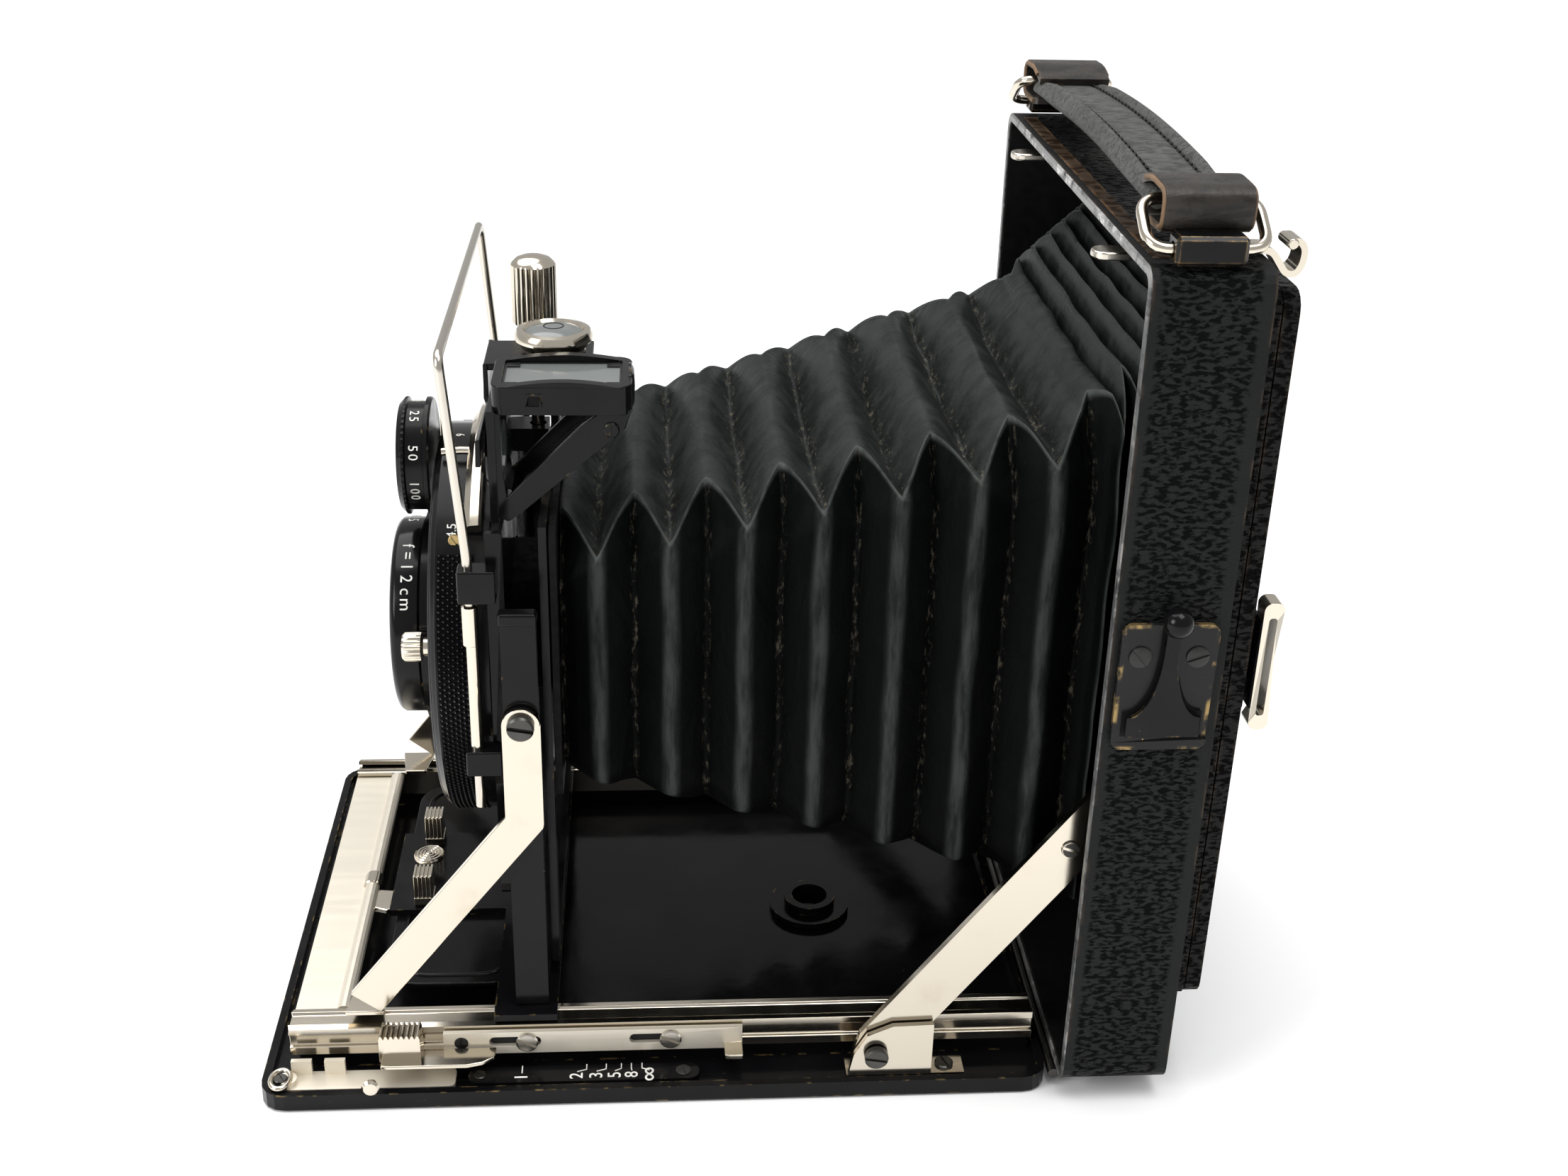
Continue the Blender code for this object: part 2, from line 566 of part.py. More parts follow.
def lever(name, pivot, tip, width):
    """A flat lever on the front of the shutter, from its pivot's round end to a turned-out tip."""
    start, end = Vector(pivot), Vector(tip)
    direction = (end - start).normalized()
    side = Vector((-direction.y, direction.x))
    outline = [start + side * width, start - direction * width, start - side * width,
               end - side * width * 0.7, end + direction * 0.8, end + side * width * 0.7]
    arm = plate(name, [[tuple(p) for p in outline]], "y", -99.4, -98.5, "nickel", (pivot[0], -99.0, pivot[1]))
    fuse(arm, cylinder(name + "_tip", "-y", (end.x, -98.6, end.y), 0.9, 3.6, sides=12))


# The two finders

FINDER_X = (14.2, 28.2)
FINDER_PIVOT = (21.2, 99.5)  # x, z: the finder turns about its own objective


def reflex_finder():
    """An open triangular frame: viewing glass on top, mirror behind, lens in the front plate."""
    bracket = plate("finder_bracket", [[(0.8, 97.0), (0.8, 110.2), (12.8, 110.2), (12.8, 104.6), (30.6, 104.6),
                                        (30.6, 100.4), (12.8, 100.4), (12.8, 97.0)]], "y", -90.2, -88.9)
    shelf = block("level_shelf", (1.1, 12.5), (-89.6, -73.2), (108.8, 110.0))
    fuse(bracket, shelf)
    cup = [(0.0, 113.2), (5.0, 113.2), (5.4, 113.8), (6.0, 113.8), (6.0, 110.5), (0.0, 110.5)]
    turned("spirit_level", (6.8, -79.2, 0.0), "z", cup, "nickel", 32)
    pivot = (FINDER_PIVOT[0], -80.0, FINDER_PIVOT[1])
    top = block("reflex_finder", FINDER_X, (-87.4, -67.2), (107.6, 112.4), "enamel", pivot, bevel=0.6)
    front = block("finder_front", FINDER_X, (-88.1, -86.6), (90.6, 108.5))
    mirror_side = [(-87.6, 90.8), (-85.6, 90.8), (-67.4, 106.2), (-67.4, 108.4), (-69.6, 108.4)]
    mirror = plate("finder_mirror_plate", [mirror_side], "x", FINDER_X[0] + 1.0, FINDER_X[1] - 1.0)
    opening = cylinder("finder_objective_hole", "y", (FINDER_PIVOT[0], -90.0, FINDER_PIVOT[1]), 4.6, 4.5, sides=20)
    cut(fuse(top, front, mirror), opening)


def wire_finder():
    """The sports finder: a wire frame whose legs run down in the clips at both sides of the shutter."""
    points = [(-WIRE_X, -90.8, 47.0), (-WIRE_X, -91.0, 88.0), (-WIRE_X, -93.4, 117.2), (-WIRE_X + 1.6, -93.6, 118.8),
              (WIRE_X - 1.6, -93.6, 118.8), (WIRE_X, -93.4, 117.2), (WIRE_X, -91.0, 88.0), (WIRE_X, -90.8, 47.0)]
    pivot = (0.0, -90.8, 80.0)
    frame = wire("wire_finder", points, 0.75, "nickel", pivot=pivot)
    sleeves = [cylinder("finder_sleeve_" + label, "z", (side * WIRE_X, -91.0, 74.6), 1.25, 6.6, sides=12)
               for label, side in SIDES]
    fuse(frame, *sleeves)
    for label, side in SIDES:
        clip_plate(label, side)


def clip_plate(label, side):
    """A strip at the lens board's edge with the two clips that guide a leg of the wire finder."""
    strip = block("wire_clip_" + label, sided(side, 34.0, 35.2), (-89.6, -87.2), (50.0, 92.0))
    clips = []
    for i, (front, low, high) in enumerate(((-93.2, 53.2, 57.4), (-94.3, 82.0, 87.2))):
        clips.append(block("clip_%s_%d" % (label, i), sided(side, 34.2, 37.8), (front, -88.2), (low, high)))
    fuse(strip, *clips)
    channel = plate("clip_channel_" + label, [[(-92.2, 40.0), (-89.4, 40.0), (-89.4, 100.0), (-93.4, 100.0),
                                               (-93.4, 78.0), (-92.2, 70.0)]], "x", *sided(side, 34.8, 37.2))
    cut(strip, channel)


# The bellows

def bellows():
    """One open-ended pleated tube: where its sides fold outwards, its top and bottom fold inwards."""
    rings = [-78.1 + 5.45 * i for i in range(15)] + [0.5 + 2.3 * i for i in range(7)]
    rings = [(y, i % 2) for i, y in enumerate(rings)]
    bm = bmesh.new()
    loops = []
    for wall in (0.0, 0.9):
        for y, side_fold in (rings if wall == 0.0 else rings[::-1]):
            reach = 33.0 + 0.13 * (y + 73.0) - wall - (0.0 if side_fold else 3.4)
            inset = wall + (3.4 if side_fold else 0.0)
            low, high = 43.5 - 0.19 * (y + 60.0) + inset, 95.5 + 0.27 * (y + 56.0) - inset
            outline = rounded((-reach, reach), (low, high), 3.0, 1)
            loops.append([bm.verts.new(world(x, y, z)) for x, z in outline])
    for before, after in zip(loops, loops[1:] + loops[:1]):
        count = len(before)
        for i in range(count):
            bm.faces.new((before[i], before[(i + 1) % count], after[(i + 1) % count], after[i]))
    from_bmesh("bellows", bm, "bellows")


case()
ground_glass_back()
back_catch()
bed_latch()
handle_parts()
strap()
bed()
stop_bracket()
strut_parts()
rails()
focus_grip()
index_plate()
carriage()
standard_frames()
braces()
rise_knob()
lens_board()
shutter()
aperture_ring()
shutter_controls()
reflex_finder()
wire_finder()
bellows()
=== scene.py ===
"""Looks of the folding plate camera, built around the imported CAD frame.

Helpers take millimetres. y is counted from the case's front plane, as in the part, and world() turns
that into the frame's metres. Near is the +X side and far is -X.
"""

import json
import math

import bmesh
import bpy
from mathutils import Matrix, Vector, noise

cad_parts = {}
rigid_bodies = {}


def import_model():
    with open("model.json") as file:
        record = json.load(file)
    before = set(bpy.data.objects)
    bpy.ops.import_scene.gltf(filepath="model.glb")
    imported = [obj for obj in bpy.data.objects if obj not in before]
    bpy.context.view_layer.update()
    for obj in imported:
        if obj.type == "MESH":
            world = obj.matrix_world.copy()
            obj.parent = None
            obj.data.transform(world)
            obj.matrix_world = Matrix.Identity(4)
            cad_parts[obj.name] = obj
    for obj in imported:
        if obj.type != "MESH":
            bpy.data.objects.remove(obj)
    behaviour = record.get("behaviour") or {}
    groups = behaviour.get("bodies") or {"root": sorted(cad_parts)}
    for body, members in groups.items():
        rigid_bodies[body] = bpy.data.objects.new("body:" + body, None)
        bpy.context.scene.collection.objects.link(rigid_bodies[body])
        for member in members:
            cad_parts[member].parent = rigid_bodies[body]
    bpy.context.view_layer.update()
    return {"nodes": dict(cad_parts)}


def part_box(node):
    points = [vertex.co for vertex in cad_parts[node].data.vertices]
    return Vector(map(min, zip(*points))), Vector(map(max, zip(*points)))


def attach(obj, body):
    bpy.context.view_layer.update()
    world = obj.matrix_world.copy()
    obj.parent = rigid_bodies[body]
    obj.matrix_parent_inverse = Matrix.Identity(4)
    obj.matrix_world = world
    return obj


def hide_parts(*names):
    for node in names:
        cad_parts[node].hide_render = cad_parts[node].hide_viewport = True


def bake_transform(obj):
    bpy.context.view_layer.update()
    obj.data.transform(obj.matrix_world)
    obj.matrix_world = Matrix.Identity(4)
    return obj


MM = 0.001

for leftover in list(bpy.data.objects):
    bpy.data.objects.remove(leftover, do_unlink=True)

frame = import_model()
FRONT_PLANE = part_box("case_shell")[0].y / MM


def world(x, y, z):
    return Vector((x, y + FRONT_PLANE, z)) * MM


def extent(node):
    """A CAD node's low and high corners in millimetres, y counted from the case's front plane."""
    low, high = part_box(node)
    shift = Vector((0.0, FRONT_PLANE, 0.0))
    return low / MM - shift, high / MM - shift


def middle(node):
    low, high = extent(node)
    return (low + high) / 2


# Materials

class Shader:
    """A Principled material under construction, with short calls for its nodes."""

    def __init__(self, name, colour, roughness, metallic=0.0, **sockets):
        self.material = bpy.data.materials.new(name)
        self.material.use_nodes = True
        self.tree = self.material.node_tree
        self.bsdf = self.tree.nodes["Principled BSDF"]
        self.bsdf.inputs["Base Color"].default_value = (*colour, 1.0)
        self.bsdf.inputs["Roughness"].default_value = roughness
        self.bsdf.inputs["Metallic"].default_value = metallic
        for socket, value in sockets.items():
            self.bsdf.inputs[socket.replace("_", " ")].default_value = value
        self.place = self.node("ShaderNodeTexCoord").outputs["Object"]

    def node(self, kind, **settings):
        made = self.tree.nodes.new(kind)
        for key, value in settings.items():
            setattr(made, key, value)
        return made

    def link(self, source, target):
        self.tree.links.new(source, target)

    def noise(self, scale, detail=4.0, roughness=0.55, stretch=None, distortion=0.0):
        made = self.node("ShaderNodeTexNoise")
        made.inputs["Scale"].default_value = scale
        made.inputs["Detail"].default_value = detail
        made.inputs["Roughness"].default_value = roughness
        made.inputs["Distortion"].default_value = distortion
        self.link(self.stretched(stretch), made.inputs["Vector"])
        return made.outputs["Fac"]

    def stretched(self, stretch):
        if stretch is None:
            return self.place
        mapping = self.node("ShaderNodeMapping")
        mapping.inputs["Scale"].default_value = stretch
        self.link(self.place, mapping.inputs["Vector"])
        return mapping.outputs["Vector"]

    def ramp(self, value, low, high, start=0.0, end=1.0):
        """Maps value from low..high to start..end, clamped, with soft ends."""
        made = self.node("ShaderNodeMapRange", interpolation_type="SMOOTHSTEP")
        for socket, number in zip(("From Min", "From Max", "To Min", "To Max"), (low, high, start, end)):
            made.inputs[socket].default_value = number
        self.link(value, made.inputs["Value"])
        return made.outputs["Result"]

    def math(self, operation, a, b):
        made = self.node("ShaderNodeMath", operation=operation, use_clamp=operation != "SUBTRACT")
        for socket, value in zip(made.inputs, (a, b)):
            if isinstance(value, (int, float)):
                socket.default_value = value
            else:
                self.link(value, socket)
        return made.outputs["Value"]

    def times(self, a, b):
        return self.math("MULTIPLY", a, b)

    def mix(self, share, a, b):
        """Mixes two colours; either may be a tuple or a socket."""
        made = self.node("ShaderNodeMix", data_type="RGBA")
        self.link(share, made.inputs["Factor"])
        for socket, value in ((made.inputs[6], a), (made.inputs[7], b)):
            if isinstance(value, tuple):
                socket.default_value = (*value, 1.0)
            else:
                self.link(value, socket)
        return made.outputs[2]

    def edges(self, width, low=0.02, high=0.3):
        """1 on convex edges within about width millimetres, and 0 on flat faces."""
        rounded = self.node("ShaderNodeBevel", samples=4)
        rounded.inputs["Radius"].default_value = width * MM
        plain = self.node("ShaderNodeNewGeometry")
        dot = self.node("ShaderNodeVectorMath", operation="DOT_PRODUCT")
        self.link(rounded.outputs["Normal"], dot.inputs[0])
        self.link(plain.outputs["Normal"], dot.inputs[1])
        return self.ramp(self.math("SUBTRACT", 1.0, dot.outputs["Value"]), low, high)

    def attribute(self, name):
        """A number kept on the mesh's vertices."""
        return self.node("ShaderNodeAttribute", attribute_name=name).outputs["Fac"]

    def coordinate(self, axis):
        made = self.node("ShaderNodeSeparateXYZ")
        self.link(self.place, made.inputs["Vector"])
        return made.outputs[axis]

    def colour(self, socket):
        self.link(socket, self.bsdf.inputs["Base Color"])

    def roughness(self, socket):
        self.link(socket, self.bsdf.inputs["Roughness"])

    def metallic(self, socket):
        self.link(socket, self.bsdf.inputs["Metallic"])

    def specular(self, socket):
        self.link(socket, self.bsdf.inputs["Specular IOR Level"])

    def bump(self, *heights):
        """Each height is (socket, depth in millimetres)."""
        last = None
        for socket, depth in heights:
            made = self.node("ShaderNodeBump")
            made.inputs["Strength"].default_value = 1.0
            made.inputs["Distance"].default_value = depth * MM
            self.link(socket, made.inputs["Height"])
            if last is not None:
                self.link(last, made.inputs["Normal"])
            last = made.outputs["Normal"]
        self.link(last, self.bsdf.inputs["Normal"])


def leather_material(name, base, light, grain, depth, borders=None):
    """Grained leather with long pits. borders are the y distances in mm beyond which its edges are smooth."""
    s = Shader(name, base, 0.5)
    pits = s.ramp(s.noise(grain, 2.0, 0.45, stretch=(0.6, 0.42, 1.0), distortion=0.25), 0.36, 0.58, 1.0, 0.0)
    if borders:
        y = s.coordinate("Y")
        front, back = [(FRONT_PLANE + b) * MM for b in borders]
        fade = 0.6 * MM
        behind_front = s.ramp(y, front - fade, front + fade)
        before_back = s.ramp(y, back + fade, back - fade)
        pits = s.times(pits, s.times(behind_front, before_back))
    s.specular(s.ramp(pits, 0.0, 0.8, 0.11, 0.015))
    fine = s.noise(grain * 4.0, 3.0)
    s.bump((s.math("SUBTRACT", 1.0, pits), depth), (fine, depth * 0.15))
    worn = s.times(s.edges(1.0, 0.03, 0.4), s.ramp(s.noise(240.0, 5.0), 0.45, 0.62))
    patches = s.ramp(s.noise(60.0, 5.0), 0.35, 0.75)
    tone = s.mix(patches, base, tuple(c * 1.6 for c in base))
    # The next two mixes darken the colour where the fine grain sinks and in the pits: painted shade in the hollows.
    tone = s.mix(s.ramp(fine, 0.35, 0.65, 0.4, 0.0), tone, tuple(c * 0.4 for c in base))
    tone = s.mix(s.times(pits, 0.85), tone, tuple(c * 0.3 for c in base))
    s.colour(s.mix(s.times(worn, 0.75), tone, light))
    s.roughness(s.ramp(patches, 0.0, 1.0, 0.38, 0.55))
    return s.material


def soft_leather_material(name, base, light, grain, depth, roughness=0.6):
    """Smooth pale leather with fine slanting wrinkles, rubbed lighter on its edges."""
    s = Shader(name, base, roughness, Specular_IOR_Level=0.25)
    wrinkles = s.noise(grain, 5.0, 0.6, stretch=(0.8, 0.35, 1.0), distortion=0.6)
    fine = s.noise(grain * 3.0, 4.0, 0.65)
    patches = s.ramp(s.noise(70.0, 5.0), 0.3, 0.75)
    tone = s.mix(patches, tuple(c * 0.85 for c in base), tuple(c * 1.2 for c in base))
    # The wrinkles' low parts are darkened: painted shade in the creases.
    tone = s.mix(s.ramp(wrinkles, 0.38, 0.54, 0.75, 0.0), tone, tuple(c * 0.35 for c in base))
    worn = s.times(s.edges(1.0, 0.05, 0.5), s.ramp(s.noise(300.0, 5.0), 0.45, 0.65))
    s.colour(s.mix(s.times(worn, 0.6), tone, light))
    s.roughness(s.ramp(fine, 0.3, 0.7, roughness * 0.85, min(1.0, roughness * 1.2)))
    s.bump((wrinkles, depth), (fine, depth * 0.35))
    return s.material


def knurl_material():
    """Black enamel over a diamond knurl, with painted shade in the grooves and a painted glint on the tips."""
    s = Shader("knurled_black", (0.004, 0.004, 0.0042), 0.35)
    tip = s.attribute("tip")
    # The tips are painted lighter as a glint and the grooves darker: painted highlight and painted shade.
    painted_glint = s.times(s.ramp(tip, 0.55, 1.0), s.ramp(s.noise(700.0, 3.0), 0.3, 0.7, 0.45, 1.0))
    s.colour(s.mix(painted_glint, (0.0022, 0.0022, 0.0024), (0.085, 0.083, 0.078)))
    s.specular(s.ramp(tip, 0.3, 1.0, 0.04, 0.5))
    s.roughness(s.ramp(s.noise(900.0, 3.0), 0.3, 0.7, 0.28, 0.42))
    return s.material


def enamel_material(name, wear=0.5, brass=(0.42, 0.3, 0.12), roughness=0.13):
    """Glossy black enamel over brass, rubbed through on its edges."""
    s = Shader(name, (0.004, 0.004, 0.0045), roughness, Specular_IOR_Level=0.17)
    rubbed = s.times(s.edges(0.5, 0.02, 0.25), s.ramp(s.noise(420.0, 5.0), 0.66 - 0.25 * wear, 0.74))
    specks = s.times(s.ramp(s.noise(1700.0, 3.0), 0.74, 0.78), 0.5 * wear)
    share = s.math("MAXIMUM", rubbed, specks)
    tone = s.mix(s.ramp(s.noise(90.0), 0.3, 0.8), (0.003, 0.003, 0.0035), (0.006, 0.006, 0.0065))
    s.colour(s.mix(share, tone, brass))
    s.metallic(s.times(share, 0.85))
    s.roughness(s.ramp(s.noise(70.0, 6.0, 0.6), 0.35, 0.8, roughness * 0.75, roughness * 2.1))
    s.bump((s.noise(130.0, 3.0), 0.035))
    return s.material


def nickel_material(name, base=(0.67, 0.61, 0.51), roughness=0.17, metallic=1.0):
    """Nickel plate with warm tarnish and fine scratches."""
    s = Shader(name, base, roughness, metallic)
    tarnish = s.ramp(s.noise(90.0, 6.0, 0.62), 0.56, 0.85)
    s.colour(s.mix(s.times(tarnish, 0.35), base, (0.5, 0.41, 0.29)))
    scratches = s.noise(500.0, 3.0, 0.6, stretch=(1.0, 0.08, 1.0))
    s.roughness(s.ramp(s.math("ADD", s.times(tarnish, 0.4), s.times(scratches, 0.5)),
                       0.1, 0.9, roughness * 0.8, roughness * 1.7))
    s.bump((scratches, 0.004), (s.noise(45.0, 2.0), 0.03))
    return s.material


def bellows_material():
    """Matt black leather cloth: the outward folds are rubbed grey, the side ridges also carry a painted highlight,
    the top faces are painted lighter as light from above, and fibres show in the inward ones.
    """
    s = Shader("bellows_leather", (0.004, 0.0045, 0.0045), 0.6)
    fold = s.attribute("fold")
    upward = s.attribute("upward")
    worn = s.attribute("worn")
    sideways = s.math("SUBTRACT", 1.0, upward)
    dust_and_sheen = s.ramp(s.noise(160.0, 6.0, 0.65), 0.3, 0.75)
    streaks = s.noise(620.0, 5.0, 0.65, stretch=(1.0, 1.0, 0.16))
    # Lighter bands on the outward side folds: partly rubbed wear, partly a painted highlight on the ridges.
    band = s.times(s.ramp(fold, 0.68, 0.92), s.ramp(streaks, 0.3, 0.7, 0.25, 1.0))
    band = s.times(band, sideways)
    edge = s.times(s.ramp(worn, 0.2, 0.95), s.ramp(s.noise(420.0, 5.0), 0.3, 0.6, 0.45, 1.0))
    fibre_noise = s.ramp(s.noise(1500.0, 4.0, 0.7, stretch=(0.35, 1.0, 0.35)), 0.52, 0.7)
    top_fibres = s.times(s.ramp(fold, 0.74, 0.96), upward)
    side_fibres = s.times(s.ramp(fold, 0.14, 0.04), s.times(sideways, 0.5))
    fibres = s.times(fibre_noise, s.math("MAXIMUM", top_fibres, side_fibres))
    # The top faces are painted lighter than the sides, as light falling from above: painted light, varied by the
    # dust noise.
    painted_top_light = s.times(upward, s.ramp(dust_and_sheen, 0.0, 1.0, 0.45, 1.0))
    tone = s.mix(painted_top_light, (0.0016, 0.0018, 0.0018), (0.021, 0.0235, 0.0226))
    tone = s.mix(s.times(band, 0.8), tone, (0.028, 0.0325, 0.0315))
    s.specular(s.ramp(s.math("MAXIMUM", painted_top_light, band), 0.0, 1.0, 0.03, 0.16))
    tone = s.mix(s.times(edge, 0.9), tone, (0.05, 0.056, 0.054))
    s.colour(s.mix(s.times(fibres, 0.9), tone, (0.13, 0.115, 0.085)))
    s.roughness(s.ramp(dust_and_sheen, 0.0, 1.0, 0.42, 0.62))
    creases = s.noise(110.0, 5.0, 0.6, stretch=(1.0, 0.45, 0.35), distortion=0.8)
    s.bump((creases, 0.55), (streaks, 0.06), (s.noise(900.0, 5.0, 0.65), 0.06), (fibres, 0.08))
    return s.material


def plain_material(name, base, roughness, metallic=0.0, grain=900.0, depth=0.01, **sockets):
    """A simple finish with a little colour drift and surface texture."""
    s = Shader(name, base, roughness, metallic, **sockets)
    drift = s.ramp(s.noise(grain * 0.25, 5.0), 0.3, 0.75)
    s.colour(s.mix(drift, tuple(c * 0.8 for c in base), tuple(min(c * 1.15, 1.0) for c in base)))
    s.roughness(s.ramp(s.noise(grain, 3.0), 0.3, 0.7, roughness * 0.85, min(roughness * 1.2, 1.0)))
    s.bump((s.noise(grain, 3.0), depth))
    return s.material


def glass_material(name, tint, roughness, alpha):
    """Tinted glass that the parts behind it show through."""
    s = Shader(name, tint, roughness, 0.0, IOR=1.5, Alpha=alpha, Specular_IOR_Level=0.9)
    s.colour(s.mix(s.ramp(s.noise(30.0), 0.3, 0.7), tint, tuple(c * 0.92 for c in tint)))
    return s.material


LEATHER = leather_material("case_leather", (0.0082, 0.0088, 0.0087), (0.09, 0.06, 0.04), 1700.0, 0.4,
                           (1.4, 14.6))
BACK_LEATHER = leather_material("back_leather", (0.0078, 0.008, 0.0077), (0.07, 0.05, 0.035), 1700.0, 0.35)
STRAP = soft_leather_material("strap_leather_grey", (0.085, 0.086, 0.08), (0.17, 0.14, 0.1), 1300.0, 0.6)
LOOP = soft_leather_material("loop_leather", (0.028, 0.024, 0.021), (0.16, 0.1, 0.06), 420.0, 0.2, 0.4)
KNURL = knurl_material()
RAW_EDGE = plain_material("raw_leather_edge", (0.16, 0.095, 0.05), 0.7, grain=1400.0, depth=0.06)
ENAMEL = enamel_material("black_enamel")
FRESH_ENAMEL = enamel_material("black_enamel_fresh", wear=0.1, roughness=0.16)
SATIN_BLACK = plain_material("satin_black", (0.006, 0.006, 0.0062), 0.38, grain=700.0, depth=0.02,
                             Specular_IOR_Level=0.3)
NICKEL = nickel_material("nickel_plate")
# A rougher nickel with a lighter base and less metal, so that the parts using it read brighter: partly a satin
# finish, partly painted light.
LIGHTENED_SATIN_NICKEL = nickel_material("nickel_satin_painted_lighter", (0.78, 0.72, 0.61), 0.36, metallic=0.6)
WIRE_NICKEL = nickel_material("nickel_wire", (0.6, 0.56, 0.49), 0.24)
STEEL = plain_material("dark_screw_steel", (0.085, 0.083, 0.077), 0.38, 1.0)
BRASS = plain_material("bare_brass", (0.45, 0.33, 0.15), 0.4, 1.0)
BELLOWS = bellows_material()
PAINT = plain_material("white_engraving", (0.78, 0.77, 0.72), 0.6, grain=2000.0)
MATT_BLACK = plain_material("matt_black", (0.0035, 0.0035, 0.0036), 0.65, grain=700.0,
                            Specular_IOR_Level=0.12)
THREAD = plain_material("strap_thread", (0.006, 0.0055, 0.005), 0.8, grain=4000.0, depth=0.03)
LENS_GLASS = glass_material("lens_glass", (0.55, 0.6, 0.66), 0.02, 0.55)
FINDER_GLASS = glass_material("finder_glass", (0.2, 0.215, 0.21), 0.12, 0.75)
MIRROR = plain_material("finder_mirror", (0.75, 0.77, 0.76), 0.08, 1.0)
SCREEN = plain_material("focusing_screen", (0.6, 0.63, 0.6), 0.7)


# Shape helpers

def show(obj):
    bpy.context.scene.collection.objects.link(obj)
    return obj


def soften(obj, sharp, bevel, segments, limit):
    """Smooth shading with crisp edges over sharp degrees, and a bevel along edges over limit degrees."""
    obj.data.shade_smooth()
    obj.data.set_sharp_from_angle(angle=math.radians(sharp))
    if not bevel:
        return
    modifier = obj.modifiers.new("soft_edges", "BEVEL")
    modifier.width = bevel * MM
    modifier.segments = segments
    modifier.limit_method = "ANGLE"
    modifier.angle_limit = math.radians(limit)
    modifier.harden_normals = True


def finish_piece(obj, material, body, slot, replaces=(), sharp=35.0, bevel=0.0, segments=2):
    """Gives a piece its material, its edges, its body and the CAD nodes that it stands for. Its slot is not used."""
    if not obj.data.materials:
        obj.data.materials.append(material)
    soften(obj, sharp, bevel, segments, 40)
    if body:
        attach(obj, body)
    if replaces:
        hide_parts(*replaces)
    return obj


def from_bmesh(name, bm, material, body, slot, replaces=(), **look):
    bmesh.ops.recalc_face_normals(bm, faces=bm.faces)
    mesh = bpy.data.meshes.new(name)
    bm.to_mesh(mesh)
    bm.free()
    return finish_piece(show(bpy.data.objects.new(name, mesh)), material, body, slot, replaces, **look)


def skin(bm, rings, closed=True):
    """Faces between neighbouring rings of vertices. A ring of one vertex is a tip."""
    for lower, upper in zip(rings, rings[1:]):
        count = max(len(lower), len(upper))
        for i in range(count if closed else count - 1):
            j = (i + 1) % count
            if len(lower) == 1:
                bm.faces.new((lower[0], upper[i], upper[j]))
            elif len(upper) == 1:
                bm.faces.new((lower[i], lower[j], upper[0]))
            else:
                bm.faces.new((lower[i], lower[j], upper[j], upper[i]))


def cap_ends(bm, rings):
    bm.faces.new(rings[0])
    bm.faces.new(rings[-1][::-1])


def block(name, x, y, z, material, body, slot, replaces=(), bevel=0.3, **look):
    bm = bmesh.new()
    bmesh.ops.create_cube(bm, size=1.0)
    low, high = world(x[0], y[0], z[0]), world(x[1], y[1], z[1])
    for v in bm.verts:
        v.co = Vector(low[i] if v.co[i] < 0 else high[i] for i in range(3))
    return from_bmesh(name, bm, material, body, slot, replaces, bevel=bevel, **look)


TURNS = {"x": ("Y", 90), "-x": ("Y", -90), "y": ("X", -90), "-y": ("X", 90), "z": ("X", 0), "-z": ("X", 180)}


def along(axis):
    name, degrees = TURNS[axis]
    return Matrix.Rotation(math.radians(degrees), 4, name)


def lathe(name, centre, axis, profile, material, body, slot, replaces=(), steps=64, flutes=None, **look):
    """A turned piece through (radius, height) points, with flutes given as (count, depth, low, high)."""
    bm = bmesh.new()
    place = Matrix.Translation(world(*centre)) @ along(axis)
    rings = []
    for radius, height in profile:
        if radius < 1e-6:
            rings.append([bm.verts.new(place @ Vector((0, 0, height * MM)))])
            continue
        ring = []
        for i in range(steps):
            a = math.tau * i / steps
            r = radius
            if flutes and flutes[2] <= height <= flutes[3]:
                r -= flutes[1] * (0.5 - 0.5 * math.cos(a * flutes[0])) ** 2
            ring.append(bm.verts.new(place @ (Vector((r * math.cos(a), r * math.sin(a), height)) * MM)))
        rings.append(ring)
    skin(bm, rings)
    if len(rings[0]) > 1 and len(rings[-1]) > 1:
        skin(bm, [rings[-1], rings[0]])
    return from_bmesh(name, bm, material, body, slot, replaces, **look)


def add_line(curve, points, cyclic):
    spline = curve.splines.new("POLY")
    spline.points.add(len(points) - 1)
    spline.use_cyclic_u = cyclic
    for point, place in zip(spline.points, points):
        point.co = (*place, 1.0)


def as_bmesh(curve, placed=Matrix.Identity(4)):
    """The surface of a curve or a text."""
    guide = show(bpy.data.objects.new(curve.name + "_guide", curve))
    guide.matrix_world = placed
    bpy.context.view_layer.update()
    graph = bpy.context.evaluated_depsgraph_get()
    mesh = bpy.data.meshes.new_from_object(guide.evaluated_get(graph))
    mesh.transform(guide.matrix_world)
    bpy.data.objects.remove(guide, do_unlink=True)
    bm = bmesh.new()
    bm.from_mesh(mesh)
    bmesh.ops.remove_doubles(bm, verts=bm.verts, dist=1e-7)
    bpy.data.meshes.remove(mesh)
    return bm


# Where a plate's two outline directions and its thickness go, for each axis that it is thick along
PLATE_AXES = {"x": (2, 0, 1), "y": (0, 2, 1), "z": (0, 1, 2)}


